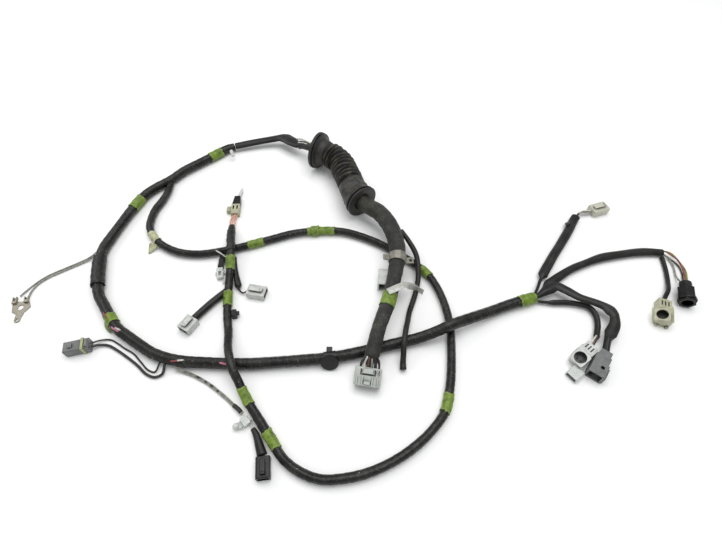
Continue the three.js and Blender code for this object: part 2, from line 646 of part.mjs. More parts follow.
// Cream junction with a side lobe, and the black wedge with its clear tip
function junctionConnector() {
  const body = prism(roundedRectangle(11, 8.6, 1), 16, 0, 0, 4.5);
  const lobe = box(7, 8, 6, -8, 5.6, 0.6);
  const slots = box(2, 6, 2.4, -2.4, 7, 6.6).add(box(2, 6, 2.4, 2.4, 7, 6.6));
  return body.add(lobe).subtract(slots);
}

function junctionCap() {
  const wedge = new THREE.Shape();
  wedge.moveTo(-5.2, 0);
  wedge.lineTo(5.2, 0);
  wedge.lineTo(4, 15);
  wedge.lineTo(-3.4, 15);
  wedge.closePath();
  const tip = new THREE.Shape();
  tip.moveTo(-1, 14);
  tip.lineTo(3.4, 14);
  tip.lineTo(5.6, 29);
  tip.absarc(4.4, 30, 1.4, 0, Math.PI);
  tip.closePath();
  return plate(wedge, 7.6, 0.6).add(plate(tip, 4, 2));
}

// Small snap clip on the side of the loop
function sideClip() {
  const grip = box(5, 8, 8, 0, -4, 0.2);
  const hook = box(4, 4, 3, 3.4, -2, 4);
  return grip.add(hook);
}

// Bundles and sleeves
const trunk = roundCord(trunkRoute, trunkDiameter, 62, 8);
const loop = roundCord(loopRoute, loopDiameter, 70, 8);
const spare = roundCord(spareRoute, spareDiameter, 24, 8);
const stemSizes = [
  [0, stemWiresDiameter], [0.06, stemWiresDiameter + 1], [0.1, stemInBootDiameter],
  [0.37, stemInBootDiameter], [0.385, stemDiameter], [0.62, stemDiameter],
  [0.72, stemLowerDiameter], [0.958, stemLowerDiameter],
];
const stemTall = [...stemSizes, [0.98, 9.5], [1, 8]];
const stemWide = [...stemSizes, [0.98, 14.5], [1, 19]];
const stem = shapedCord(stemRoute, stemTall, stemWide, 48, 10);
const sleeveTall = [[0, 8], [0.55, 7], [0.75, 6], [1, 6.5]];
const sleeveWide = [[0, 12], [0.6, 12.5], [0.72, 18], [0.85, 17], [1, 9]];
const inletSleeve = shapedCord(inletSleeveRoute, sleeveTall, sleeveWide, 14, 10);
const branchATall = [[0, 2], [0.18, 2.4], [0.21, 7], [1, 7]];
const branchAWide = [[0, 3], [0.18, 4], [0.21, 11], [1, 11]];
const branchA = shapedCord(branchARoute, branchATall, branchAWide, 20, 8);
const wiresA = shapedCord(wiresARoute, [[0, 2.4], [1, 2.4]], [[0, 5], [1, 6]], 5, 8);
const branchBTall = [[0, 3], [0.1, 4], [0.14, 7.4], [1, 7.4]];
const branchBWide = [[0, 3], [0.1, 4], [0.14, 10], [1, 10]];
const branchB = shapedCord(branchBRoute, branchBTall, branchBWide, 18, 8);
const branchCTall = [[0, 4], [0.08, 5], [0.86, 5], [0.9, 7], [1, 7]];
const branchCWide = [[0, 4], [0.1, 8], [0.2, 12], [0.86, 12], [0.9, 8], [1, 8]];
const branchC = shapedCord(branchCRoute, branchCTall, branchCWide, 22, 8);
const branchDSize = [[0, 3.4], [0.1, 4], [0.16, 6.6], [0.86, 6.6], [0.9, 2.4], [1, 2.4]];
const branchD = shapedCord(branchDRoute, branchDSize, branchDSize, 16, 8);
const latchSleeve = shapedCord(latchSleeveRoute, [[0, 5], [1, 7]], [[0, 5], [1, 10]], 6, 8);
const clusterLeadSize = [[0, 5], [0.55, 4.6], [0.7, wireDiameter], [1, wireDiameter]];
const clusterLead = shapedCord(clusterLeadRoute, clusterLeadSize, clusterLeadSize, 12, 8);

// The loop leaves the trunk at a saddle cut to the trunk's own surface
const loopBody = solid(loop.grow(0)).subtract(solid(trunk.grow(clearance)));

const group = new THREE.Group();

function addNode(name, body, material) {
  const mesh = new THREE.Mesh(geometryOf(body.simplify(facetTolerance)), material);
  mesh.name = name;
  group.add(mesh);
  return mesh;
}

function addCord(name, line, material) {
  addNode(name, solid(line.grow(0)), material);
}

// A rigid piece turned about Z by yaw, tipped by pitch (nose up is positive) and set on the
// surface, or at a given height
function addPiece(name, body, material, [x, y], yaw, pitch = 0, height = 0) {
  const mesh = addNode(name, body, material);
  mesh.rotation.set(THREE.MathUtils.degToRad(pitch), 0, THREE.MathUtils.degToRad(yaw), 'ZYX');
  mesh.position.set(x * spreadX, y * spreadY, 0);
  mesh.updateMatrixWorld();
  const lowest = new THREE.Box3().setFromObject(mesh, true).min.z;
  mesh.position.z = height - lowest;
  return mesh;
}

addCord('stem_bundle', stem, cloth);
addCord('trunk_bundle', trunk, vinyl);
addNode('loop_bundle', loopBody, vinyl);
addCord('spare_tube', spare, vinyl);
addCord('inlet_sleeve', inletSleeve, vinyl);
addCord('branch_a_sleeve', branchA, vinyl);
addCord('branch_a_wires', wiresA, greyWire);
addCord('branch_b_sleeve', branchB, vinyl);
addCord('branch_b_yellow_wire', roundCord(yellowRoute, wireDiameter, 11), yellowWire);
addCord('branch_b_grey_wire', roundCord(greyFanRoute, wireDiameter, 10), greyWire);
addCord('branch_b_taped_lead', roundCord(tapedBRoute, 5, 10), vinyl);
addCord('branch_c_sleeve', branchC, vinyl);
addCord('branch_d_sleeve', branchD, vinyl);
addCord('cluster_sleeve', roundCord(clusterSleeveRoute, 8, 8), vinyl);
addCord('cluster_lead', clusterLead, vinyl);
addCord('ground_wire_a', roundCord(groundARoute, wireDiameter, 14), greyWire);
addCord('ground_wire_b', roundCord(groundBRoute, wireDiameter, 14), greyWire);
addCord('two_way_thick_wire', roundCord(thickLeadRoute, thickLeadDiameter, 16), blackWire);
addCord('two_way_thin_wire', roundCord(thinLeadRoute, wireDiameter, 16), blackWire);
addCord('latch_lead', roundCord(latchLeadRoute, leadDiameter, 12), greyWire);
addCord('latch_sleeve', latchSleeve, vinyl);
addCord('loop_end_wires', roundCord(loopEndRoute, 4, 6), orangeWire);

addNode('boot', boot(stem, bootSpot), rubber);
addNode('band_clamp', bandClamp(stem, clampSpot), zincBand);
addNode('stem_tape', tape(stem, [30, -72, 22.5], 17), greenTape);
addNode('trunk_tape_1', tape(trunk, [-209, 185, 7], 19), greenTape);
addNode('trunk_tape_2', tape(trunk, [-294, 88, 7], 19), greenTape);
addNode('trunk_sheath', tape(trunk, [-307, -22, 7.6], 42, sheathThickness), vinyl);
addNode('trunk_tape_3', tape(trunk, [-273, -85, 7], 15), greenTape);
addNode('trunk_tape_4', tape(trunk, [185.4, -61.4, 7], 19), greenTape);
addNode('round_clip', roundClip(trunk, clipSpot), blackNylon);
addNode('loop_tape_1', tape(loop, [-256, 30, 5.6], 17), creamTape);
addNode('loop_tape_2', tape(loop, [-130, 22, 5.6], 19), greenTape);
addNode('loop_tape_3', tape(loop, [-50, 42, 5.6], 34), greenTape);
addNode('loop_tape_4', tape(loop, [76, -22, 5.6], 15), greenTape);
addNode('loop_tape_5', tape(loop, [84, -178, 5.6], 19), greenTape);
addNode('loop_tape_6', tape(loop, [-83, -213, 5.6], 19), greenTape);
addNode('loop_tape_7', tape(loop, [-113, -173, 6], 19), greenTape);
addNode('loop_tape_8', tape(loop, [-150, -59, 5.6], 19), greenTape);
addNode('loop_tape_9', tape(loop, [-153, -13, 13], 17), greenTape);

const strip = new THREE.BoxGeometry(1, 1, 1, 1, 18, 1);
bend(strip, curveThrough(labelRoute), (y) => y + 0.5, () => labelThickness, () => labelWidth);
addNode('label_strip', solid(strip), paper);

addPiece('big_connector', bigConnector(bigSize), whiteNylon, [8.7, -142.1], 171, bigTilt);
addPiece('side_connector', housing(sideSize), whiteNylon, [28.7, -24], 176);
addPiece('block_connector', latchedHousing(blockSize), whiteNylon, [299.6, 76.2], -72);
addPiece('cream_connector', roundSocket(creamSize, creamMouth), creamNylon, [338.6, -62.8], 159);
addPiece('black_connector', motorPlug(motorSize), blackNylon, [370.6, -40.6], 162);
addPiece('white_connector', roundSocket(whiteSize, whiteMouth), whiteNylon, [240.9, -119.2], 126);
addPiece('grey_connector', greyConnector(greySize), greyNylon, [252.6, -127.2], 142.4);
addPiece('clear_connector', housing(clearSize), clearNylon, [222.2, -143.7], 127);
addPiece('two_way_connector', twoWayConnector(), greyNylon, [-284.6, -115.8], 104);
addPiece('earth_bracket', earthBracket(), steel, [-383, -67], 14);
addPiece('latch_connector', latchedHousing(latchSize), blackNylon, [-88.8, -228], 187);
addPiece('latch_clip', latchClip(), clearNylon, [-111.2, -196.4], 40);
addPiece('cluster_plug', clusterPlug(), blackNylon, [-167, -13.9], 0);
addPiece('cluster_clip', clusterClip(), clearNylon, [-166, -22.2], 12);
addPiece('cluster_connector', latchedHousing(clusterSize), whiteNylon, [-129, -47.2], -101);
addPiece('square_connector', latchedHousing(squareSize), whiteNylon, [-183, -84.4], 150);
addPiece('side_clip', sideClip(), blackNylon, [-139.6, -78], 8);
addPiece('junction_connector', junctionConnector(), creamNylon, [-163.2, 70.2], 3);
addPiece('junction_cap', junctionCap(), blackNylon, [-164, 87], 3);

// Middle of the footprint at the origin, lowest point on z = 0
group.updateMatrixWorld(true);
const extent = new THREE.Box3().setFromObject(group, true);
const middle = extent.getCenter(new THREE.Vector3());
const shift = new THREE.Vector3(-middle.x, -middle.y, -extent.min.z);
group.position.copy(shift);
group.updateMatrixWorld(true);

export default group;
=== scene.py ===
import math
import bpy
import bmesh
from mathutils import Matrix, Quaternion, Vector, noise
from mathutils.bvhtree import BVHTree


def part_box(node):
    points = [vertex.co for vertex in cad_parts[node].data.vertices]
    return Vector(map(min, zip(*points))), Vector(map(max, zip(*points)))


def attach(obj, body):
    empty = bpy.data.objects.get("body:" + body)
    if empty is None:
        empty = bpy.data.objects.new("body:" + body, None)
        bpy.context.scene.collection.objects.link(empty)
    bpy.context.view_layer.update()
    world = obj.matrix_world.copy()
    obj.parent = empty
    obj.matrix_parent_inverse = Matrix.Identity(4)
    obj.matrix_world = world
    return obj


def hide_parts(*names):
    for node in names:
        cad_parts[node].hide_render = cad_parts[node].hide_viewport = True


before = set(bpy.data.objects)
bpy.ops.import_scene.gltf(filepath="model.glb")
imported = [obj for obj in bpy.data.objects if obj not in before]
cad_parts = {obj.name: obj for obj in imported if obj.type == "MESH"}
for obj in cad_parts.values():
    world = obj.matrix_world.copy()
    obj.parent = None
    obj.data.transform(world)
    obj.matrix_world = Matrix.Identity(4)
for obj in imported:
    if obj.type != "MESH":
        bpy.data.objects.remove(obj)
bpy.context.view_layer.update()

mm = 0.001
print("scene: frame loaded")

# Routes are written in the plan frame of the part's source, in millimetres. A plug of known
# place gives the shift from there to the row frame.
plugLow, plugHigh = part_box("cluster_plug")
shift = Vector(((plugLow[0] + plugHigh[0]) / 2 + 0.167, plugLow[1] + 0.0139, plugLow[2]))


def plan(x, y, z=0.0):
    return Vector((x, y, z)) * mm + shift


# The camera stands in front, looking down at the harness
cameraView = {"place": (0, -330, 435), "down": 54.2, "sensor": 36, "lensShare": 450 / 722, "far": 20}
tilt = (math.radians(90 - cameraView["down"]), 0, 0)
bpy.ops.object.camera_add(location=plan(*cameraView["place"]), rotation=tilt)
camera = bpy.context.object
camera.data.sensor_fit = "HORIZONTAL"
camera.data.sensor_width = cameraView["sensor"]
camera.data.lens = cameraView["sensor"] * cameraView["lensShare"]
camera.data.clip_end = cameraView["far"]
bpy.context.scene.camera = camera


# Materials

def hexColour(code):
    channels = [int(code[i:i + 2], 16) / 255 for i in (1, 3, 5)]
    return [c / 12.92 if c <= 0.04045 else ((c + 0.055) / 1.055) ** 2.4 for c in channels] + [1]


# Adds one node, sets it, wires its inputs and, if asked, feeds its result to a shader input
def node(tree, kind, settings=None, links=None, feeds=None):
    added = tree.nodes.new("ShaderNode" + kind)
    for key, value in (settings or {}).items():
        if key == "stops":  # (place, hex colour or grey value) pairs of a colour ramp
            elements = added.color_ramp.elements
            while len(elements) < len(value):
                elements.new(0.5)
            for element, (place, tone) in zip(elements, value):
                element.position = place
                element.color = hexColour(tone) if isinstance(tone, str) else (tone, tone, tone, 1)
        elif isinstance(key, int) or key in added.inputs:
            added.inputs[key].default_value = hexColour(value) if isinstance(value, str) else value
        else:
            setattr(added, key, value)
    for key, source in (links or {}).items():
        tree.links.new(source, added.inputs[key])
    if feeds:
        result = added.outputs[2 if kind == "Mix" else 0]
        tree.links.new(result, tree.nodes["Principled BSDF"].inputs[feeds])
    return added.outputs


def newMaterial(name, principled):
    made = bpy.data.materials.new(name)
    made.use_nodes = True
    tree = made.node_tree
    for key, value in principled.items():
        tree.nodes["Principled BSDF"].inputs[key].default_value = value
    return made, tree, node(tree, "TexCoord")


# Runs from 0 to 1 over each turn of a wound tape. The UV map holds metres along and turns
# round.
def windingPhase(tree, parts, turnsPerMetre):
    along = node(tree, "Math", {"operation": "MULTIPLY", 1: turnsPerMetre}, {0: parts["X"]})
    spiral = node(tree, "Math", {"operation": "ADD"}, {0: along[0], 1: parts["Y"]})
    return node(tree, "Math", {"operation": "FRACT"}, {0: spiral[0]})[0]


# PVC harness tape, wound by hand with a half overlap: satin black with crisp lights on its
# creases; the edge of each turn catches a little dust. Pale flecks are partly specks of
# adhesive and partly painted glints.
def woundVinyl(name, s):
    made, tree, uv = newMaterial(name, {"IOR": 1.53, "Specular IOR Level": 0.26})
    parts = node(tree, "SeparateXYZ", None, {"Vector": uv["UV"]})
    blotch = node(tree, "TexNoise", {"Scale": 70, "Detail": 5, "Roughness": 0.6}, {"Vector": uv["Object"]})
    crease = node(tree, "TexNoise", {"Scale": 420, "Detail": 3, "Roughness": 0.55}, {"Vector": uv["Object"]})
    fleckGlintNoise = node(tree, "TexNoise", {"Scale": 380, "Detail": 3, "Distortion": 1.2}, {"Vector": uv["Object"]})
    turn = windingPhase(tree, parts, 1000 / s["pitch"])
    edge = node(tree, "ValToRGB", {"stops": [(0.0, 1.0), (0.05, 0.0), (0.95, 0.0),
    (1.0, 0.6)]}, {"Fac": turn})
    shade = node(tree, "ValToRGB", {"stops": [(0.4, s["base"]), (0.75, s["worn"])]}, {"Fac": blotch["Fac"]})
    patchy = node(tree, "Math", {"operation": "MULTIPLY"}, {0: edge["Color"], 1: blotch["Fac"]})
    dusty = node(tree, "Math", {"operation": "MULTIPLY", 1: s["dust"]}, {0: patchy[0]})
    colour = node(tree, "Mix", {"data_type": "RGBA", 7: "#77746b"}, {0: dusty[0], 6: shade["Color"]})
    # Pale flecks: partly specks of adhesive, partly painted glints
    fleck = node(tree, "ValToRGB", {"stops": [(0.71, 0.0), (0.75, s["fleck"])]}, {"Fac": fleckGlintNoise["Fac"]})
    node(tree, "Mix", {"data_type": "RGBA", 7: "#a19f96"}, {0: fleck["Color"], 6: colour[2]}, "Base Color")
    rough = {"stops": [(0.3, s["rough"][0]), (0.75, s["rough"][1])]}
    node(tree, "ValToRGB", rough, {"Fac": crease["Fac"]}, "Roughness")
    height = node(tree, "Math", {"operation": "MULTIPLY_ADD", 1: 0.45}, {0: turn, 2: crease["Fac"]})
    node(tree, "Bump", {"Strength": 0.8, "Distance": 0.0007}, {"Height": height[0]}, "Normal")
    return made


# Friction cloth tape: matt woven cotton with a gummy face, scuffed pale green-grey where it
# has rubbed and stained beside the boot. The weave is drawn at 0.9 mm, coarser than the real
# 0.3 mm, so that it shows.
def clothTapeMaterial():
    made, tree, uv = newMaterial("clothFrictionTape", {
        "Roughness": 0.6, "IOR": 1.5, "Specular IOR Level": 0.32})
    parts = node(tree, "SeparateXYZ", None, {"Vector": uv["UV"]})
    blotch = node(tree, "TexNoise", {"Scale": 60, "Detail": 6, "Roughness": 0.7}, {"Vector": uv["Object"]})
    speck = node(tree, "TexNoise", {"Scale": 700, "Detail": 4, "Roughness": 0.7}, {"Vector": uv["Object"]})
    weave = node(tree, "TexVoronoi", {"Scale": 1100, "Randomness": 0.35}, {"Vector": uv["Object"]})
    lumps = node(tree, "TexNoise", {"Scale": 300, "Detail": 3}, {"Vector": uv["Object"]})
    turn = windingPhase(tree, parts, 1000 / 12.5)
    shades = {"stops": [(0.36, "#20201f"), (0.58, "#2f2e2b"), (0.78, "#4a4b44")]}
    shade = node(tree, "ValToRGB", shades, {"Fac": blotch["Fac"]})
    worn = node(tree, "ValToRGB", {"stops": [(0.56, 0.0), (0.68, 0.75)]}, {"Fac": speck["Fac"]})
    scuff = node(tree, "ValToRGB", {"stops": [(0.42, 0.15), (0.66, 1.0)]}, {"Fac": blotch["Fac"]})
    share = node(tree, "Math", {"operation": "MULTIPLY"}, {0: worn["Color"], 1: scuff["Color"]})
    colour = node(tree, "Mix", {"data_type": "RGBA", 7: "#7d7f70"}, {0: share[0], 6: shade["Color"]})
    near = node(tree, "ValToRGB", {"stops": [(0.13, 0.0), (0.15, 0.6), (0.21, 0.0)]}, {"Fac": parts["X"]})
    stain = node(tree, "Math", {"operation": "MULTIPLY"}, {0: near["Color"], 1: scuff["Color"]})
    node(tree, "Mix", {"data_type": "RGBA", 7: "#474d3a"}, {0: stain[0], 6: colour[2]}, "Base Color")
    height = node(tree, "Math", {"operation": "MULTIPLY_ADD", 1: 0.5}, {0: weave["Distance"],
    2: lumps["Fac"]})
    height = node(tree, "Math", {"operation": "MULTIPLY_ADD", 1: 0.5}, {0: turn, 2: height[0]})
    node(tree, "Bump", {"Strength": 0.55, "Distance": 0.0009}, {"Height": height[0]}, "Normal")
    return made


# Extruded PVC sleeving: smooth, satin, with faint draw lines and handling dust
def smoothVinyl(name, base, worn, rough):
    made, tree, uv = newMaterial(name, {"IOR": 1.53, "Specular IOR Level": 0.27})
    blotch = node(tree, "TexNoise", {"Scale": 90, "Detail": 5, "Roughness": 0.6}, {"Vector": uv["Object"]})
    crease = node(tree, "TexNoise", {"Scale": 260, "Detail": 3}, {"Vector": uv["Object"]})
    node(tree, "ValToRGB", {"stops": [(0.42, base), (0.78, worn)]}, {"Fac": blotch["Fac"]}, "Base Color")
    node(tree, "ValToRGB", {"stops": [(0.3, rough[0]),
    (0.8, rough[1])]}, {"Fac": blotch["Fac"]}, "Roughness")
    node(tree, "Bump", {"Strength": 0.35, "Distance": 0.0006}, {"Height": crease["Fac"]}, "Normal")
    return made


# Moulded EPDM rubber: charcoal, with patchy brown-green dust. The dust attribute is 1 where
# the paler colour is strongest; it is partly dust and partly painted light: highest on the ridges of the
# bellows as a painted highlight, 0 in the valleys as painted shade.
def bootRubberMaterial():
    made, tree, uv = newMaterial("mouldedRubber", {"IOR": 1.52, "Specular IOR Level": 0.42})
    dust = node(tree, "Attribute", {"attribute_name": "dust"})
    blotch = node(tree, "TexNoise", {"Scale": 75, "Detail": 6, "Roughness": 0.7}, {"Vector": uv["Object"]})
    grain = node(tree, "TexNoise", {"Scale": 1300, "Detail": 3}, {"Vector": uv["Object"]})
    shades = {"stops": [(0.36, "#151515"), (0.6, "#211f1f"), (0.82, "#35332e")]}
    shade = node(tree, "ValToRGB", shades, {"Fac": blotch["Fac"]})
    patch = node(tree, "ValToRGB", {"stops": [(0.47, 0.05), (0.64, 0.95)]}, {"Fac": blotch["Fac"]})
    # Partly dust, partly painted light: paler on ridge tops and lip edges as painted highlights, dark in
    # valleys and grooves as painted shade
    dustAndRidgeLight = node(tree, "Math", {"operation": "MULTIPLY"}, {0: dust["Fac"], 1: patch["Color"]})
    colour = node(tree, "Mix", {"data_type": "RGBA", 7: "#5f5b49"}, {0: dustAndRidgeLight[0], 6: shade["Color"]})
    fleck = node(tree, "ValToRGB", {"stops": [(0.6, 0.0), (0.68, 0.35)]}, {"Fac": grain["Fac"]})
    node(tree, "Mix", {"data_type": "RGBA", 7: "#75715c"}, {0: fleck["Color"], 6: colour[2]}, "Base Color")
    node(tree, "ValToRGB", {"stops": [(0.3, 0.32), (0.7, 0.68)]}, {"Fac": blotch["Fac"]}, "Roughness")
    height = node(tree, "Math", {"operation": "MULTIPLY_ADD", 1: 1.2}, {0: blotch["Fac"], 2: grain["Fac"]})
    node(tree, "Bump", {"Strength": 0.45, "Distance": 0.0006}, {"Height": height[0]}, "Normal")
    return made


# Coloured PVC marking tape: thin, semi-gloss film that goes pale where it is stretched and at
# its torn ends, and darker where it lies tight on the black bundle
def bandTape(name, light, mid, dark, torn):
    made, tree, uv = newMaterial(name, {
        "IOR": 1.53, "Specular IOR Level": 0.35, "Coat Weight": 0.06, "Coat Roughness": 0.22})
    parts = node(tree, "SeparateXYZ", None, {"Vector": uv["UV"]})
    blotch = node(tree, "TexNoise", {"Scale": 190, "Detail": 5, "Roughness": 0.65}, {"Vector": uv["Object"]})
    crease = node(tree, "TexNoise", {"Scale": 480, "Detail": 4, "Roughness": 0.6}, {"Vector": uv["Object"]})
    shade = node(tree, "ValToRGB", {"stops": [(0.33, dark), (0.5, mid),
    (0.7, light)]}, {"Fac": blotch["Fac"]})
    rim = node(tree, "Attribute", {"attribute_name": "rim"})
    tatter = node(tree, "ValToRGB", {"stops": [(0.42, 0.0), (0.6, 0.8)]}, {"Fac": crease["Fac"]})
    ragged = node(tree, "Math", {"operation": "MULTIPLY"}, {0: rim["Fac"], 1: tatter["Color"]})
    colour = node(tree, "Mix", {"data_type": "RGBA", 7: torn}, {0: ragged[0], 6: shade["Color"]})
    turn = windingPhase(tree, parts, 120)
    line = node(tree, "ValToRGB", {"stops": [(0.0, 0.45), (0.05, 0.0), (1.0, 0.0)]}, {"Fac": turn})
    node(tree, "Mix", {"data_type": "RGBA", 7: dark}, {0: line["Color"], 6: colour[2]}, "Base Color")
    node(tree, "ValToRGB", {"stops": [(0.3, 0.26), (0.7, 0.52)]}, {"Fac": crease["Fac"]}, "Roughness")
    node(tree, "Bump", {"Strength": 0.6, "Distance": 0.0008}, {"Height": crease["Fac"]}, "Normal")
    return made


# Injection-moulded nylon: natural nylon is milky and lets a little light in, dyed nylon is
# not. Dirt settles unevenly. The recess attribute paints shade into the colour: mouths, slots and corners are
# darkened towards the shadow colour.
def nylonMaterial(name, s):
    made, tree, uv = newMaterial(name, {
        "IOR": 1.53, "Specular IOR Level": s.get("shine", 0.45), "Subsurface Weight": s.get("milky", 0.0),
        "Subsurface Scale": 0.003, "Subsurface Radius": (1.0, 0.95, 0.85),
        "Transmission Weight": s.get("glassy", 0.0)})
    blotch = node(tree, "TexNoise", {"Scale": 150, "Detail": 6, "Roughness": 0.65}, {"Vector": uv["Object"]})
    grain = node(tree, "TexNoise", {"Scale": 900, "Detail": 3}, {"Vector": uv["Object"]})
    recess = node(tree, "Attribute", {"attribute_name": "recess"})
    share = node(tree, "ValToRGB", {"stops": [(0.4, 0.0), (0.7, s["dirt"])]}, {"Fac": blotch["Fac"]})
    colour = node(tree, "Mix", {"data_type": "RGBA", 6: s["base"], 7: s["grime"]}, {0: share["Color"]})
    speck = node(tree, "ValToRGB", {"stops": [(0.62, 0.0), (0.7, 0.5 * s["dirt"])]}, {"Fac": grain["Fac"]})
    colour = node(tree, "Mix", {"data_type": "RGBA", 7: s["grime"]}, {0: speck["Color"], 6: colour[2]})
    # Painted shade: the recess attribute mixes the shadow colour into mouths, slots and corners
    closed = node(tree, "ValToRGB", {"stops": [(0.12, 0.0), (0.6, s["deep"])]}, {"Fac": recess["Fac"]})
    node(tree, "Mix", {"data_type": "RGBA", 7: s["shadow"]}, {0: closed["Color"],
    6: colour[2]}, "Base Color")
    rough = {"stops": [(0.3, s["rough"][0]), (0.75, s["rough"][1])]}
    node(tree, "ValToRGB", rough, {"Fac": blotch["Fac"]}, "Roughness")
    node(tree, "Bump", {"Strength": 0.2, "Distance": 0.0003}, {"Height": grain["Fac"]}, "Normal")
    return made


# Zinc-plated steel gone dull: grey with white bloom and darker handling marks
def zincPlate(name, base, bloom, metallic, rough):
    made, tree, uv = newMaterial(name, {"Metallic": metallic})
    blotch = node(tree, "TexNoise", {"Scale": 190, "Detail": 6, "Roughness": 0.7}, {"Vector": uv["Object"]})
    grain = node(tree, "TexNoise", {"Scale": 2200, "Detail": 2}, {"Vector": uv["Object"]})
    node(tree, "ValToRGB", {"stops": [(0.35, base), (0.7, bloom)]}, {"Fac": blotch["Fac"]}, "Base Color")
    gloss = {"stops": [(0.3, rough - 0.08), (0.75, rough + 0.22)]}
    node(tree, "ValToRGB", gloss, {"Fac": blotch["Fac"]}, "Roughness")
    node(tree, "Bump", {"Strength": 0.2, "Distance": 0.0002}, {"Height": grain["Fac"]}, "Normal")
    return made


# Thin-wall PVC wire insulation: satin, with grease and dirt on it
def wireMaterial(name, base, grime="#4a4842"):
    made, tree, uv = newMaterial(name, {"IOR": 1.53})
    blotch = node(tree, "TexNoise", {"Scale": 240, "Detail": 4, "Roughness": 0.6}, {"Vector": uv["Object"]})
    node(tree, "ValToRGB", {"stops": [(0.42, base), (0.8, grime)]}, {"Fac": blotch["Fac"]}, "Base Color")
    node(tree, "ValToRGB", {"stops": [(0.3, 0.28), (0.75, 0.52)]}, {"Fac": blotch["Fac"]}, "Roughness")
    node(tree, "Bump", {"Strength": 0.2, "Distance": 0.0002}, {"Height": blotch["Fac"]}, "Normal")
    return made


# Coated paper: flat white strip, a little yellowed and smudged
def coatedPaperMaterial():
    made, tree, uv = newMaterial("coatedPaper", {"IOR": 1.5})
    smudge = node(tree, "TexNoise", {"Scale": 130, "Detail": 5}, {"Vector": uv["Object"]})
    shades = {"stops": [(0.4, "#c4c4be"), (0.75, "#94938a")]}
    node(tree, "ValToRGB", shades, {"Fac": smudge["Fac"]}, "Base Color")
    node(tree, "ValToRGB", {"stops": [(0.3, 0.4), (0.7, 0.6)]}, {"Fac": smudge["Fac"]}, "Roughness")
    return made


# Studio floor: white sprayed board with the faintest mottle
def paleFloorMaterial():
    made, tree, uv = newMaterial("paleFloor", {"Roughness": 0.6, "Specular IOR Level": 0.2})
    mottle = node(tree, "TexNoise", {"Scale": 3, "Detail": 3}, {"Vector": uv["Object"]})
    shades = {"stops": [(0.3, "#f4f4f3"), (0.7, "#f8f8f7")]}
    node(tree, "ValToRGB", shades, {"Fac": mottle["Fac"]}, "Base Color")
    return made


# fleck sets the strength of the pale flecks: partly adhesive specks, partly painted glints
trunkVinyl = woundVinyl("woundVinylTape", {
    "base": "#131312", "worn": "#2a2926", "pitch": 9.5, "dust": 0.38, "fleck": 0.75, "rough": (0.14, 0.5)})
leadVinyl = woundVinyl("woundLeadTape", {
    "base": "#121211", "worn": "#242322", "pitch": 7, "dust": 0.3, "fleck": 0.3, "rough": (0.16, 0.45)})
clothTape = clothTapeMaterial()
sleeveVinyl = smoothVinyl("extrudedVinylSleeve", "#161615", "#2b2a28", (0.28, 0.5))
tubeVinyl = smoothVinyl("vinylTube", "#1a1a18", "#2f2e2b", (0.34, 0.55))
bootRubber = bootRubberMaterial()
greenTape = bandTape("greenMarkingTape", "#7b9430", "#667f22", "#425417", "#97a565")
creamTape = bandTape("creamMarkingTape", "#c3c5a2", "#aaac86", "#7f8060", "#d5d6bd")
# In each nylon, shadow and deep set the painted shade in mouths, slots and corners
whiteNylon = nylonMaterial("naturalNylon", {
    "base": "#c9ccc7", "grime": "#8c8d84", "shadow": "#121211", "deep": 0.93, "dirt": 0.6, "milky": 0.2,
    "rough": (0.3, 0.5)})
stemNylon = nylonMaterial("greyGreenNylon", {
    "base": "#c2c6bf", "grime": "#8f938b", "shadow": "#2a2c29", "deep": 0.95, "dirt": 0.5, "milky": 0.15,
    "rough": (0.25, 0.45)})
retainerNylon = nylonMaterial("retainerNylon", {
    "base": "#a3a975", "grime": "#6f7250", "shadow": "#23231a", "deep": 0.8, "dirt": 0.4, "rough": (0.3, 0.5)})
warmNylon = nylonMaterial("warmNylon", {
    "base": "#cfcfbe", "grime": "#a2a391", "shadow": "#4a4a3c", "deep": 0.8, "dirt": 0.4, "milky": 0.3,
    "glassy": 0.15, "rough": (0.22, 0.4)})
clearNylon = nylonMaterial("clearNylon", {
    "base": "#dfe3de", "grime": "#a9aca6", "shadow": "#6d706b", "deep": 0.6, "dirt": 0.4, "milky": 0.3,
    "glassy": 0.3, "rough": (0.18, 0.35)})
creamNylon = nylonMaterial("yellowedNylon", {
    "base": "#b1b095", "grime": "#78765f", "shadow": "#0d0c09", "deep": 0.95, "dirt": 0.6, "milky": 0.12,
    "rough": (0.3, 0.5)})
greyNylon = nylonMaterial("greyNylon", {
    "base": "#6c6d6d", "grime": "#4b4a46", "shadow": "#1b1b1a", "deep": 0.9, "dirt": 0.6,
    "rough": (0.33, 0.5)})
blackNylon = nylonMaterial("blackNylon", {
    "base": "#0e0e0e", "grime": "#262522", "shadow": "#050505", "deep": 0.8, "dirt": 0.5, "shine": 0.28,
    "rough": (0.2, 0.42)})
platedSteel = zincPlate("zincPlatedSteel", "#7d776b", "#a29d90", 0.85, 0.36)
bandZinc = zincPlate("dullZincBand", "#6f6d66", "#989589", 0.5, 0.45)
labelPaper = coatedPaperMaterial()
greyWire = wireMaterial("greyInsulation", "#93928a")
blackWire = wireMaterial("blackInsulation", "#161616", "#34322e")
yellowWire = wireMaterial("yellowGreenInsulation", "#8d922f", "#4c4c28")
orangeWire = wireMaterial("orangeInsulation", "#dba690", "#9f7561")
redWire = wireMaterial("redInsulation", "#8a3840", "#4a2629")
pinkWire = wireMaterial("pinkInsulation", "#b96a86", "#7a4c5c")
whiteWire = wireMaterial("whiteInsulation", "#d0cfc6", "#8d8b82")
brownWire = wireMaterial("brownInsulation", "#5c4335", "#3a2d25")
print("scene: materials made")


# Routes and tubes

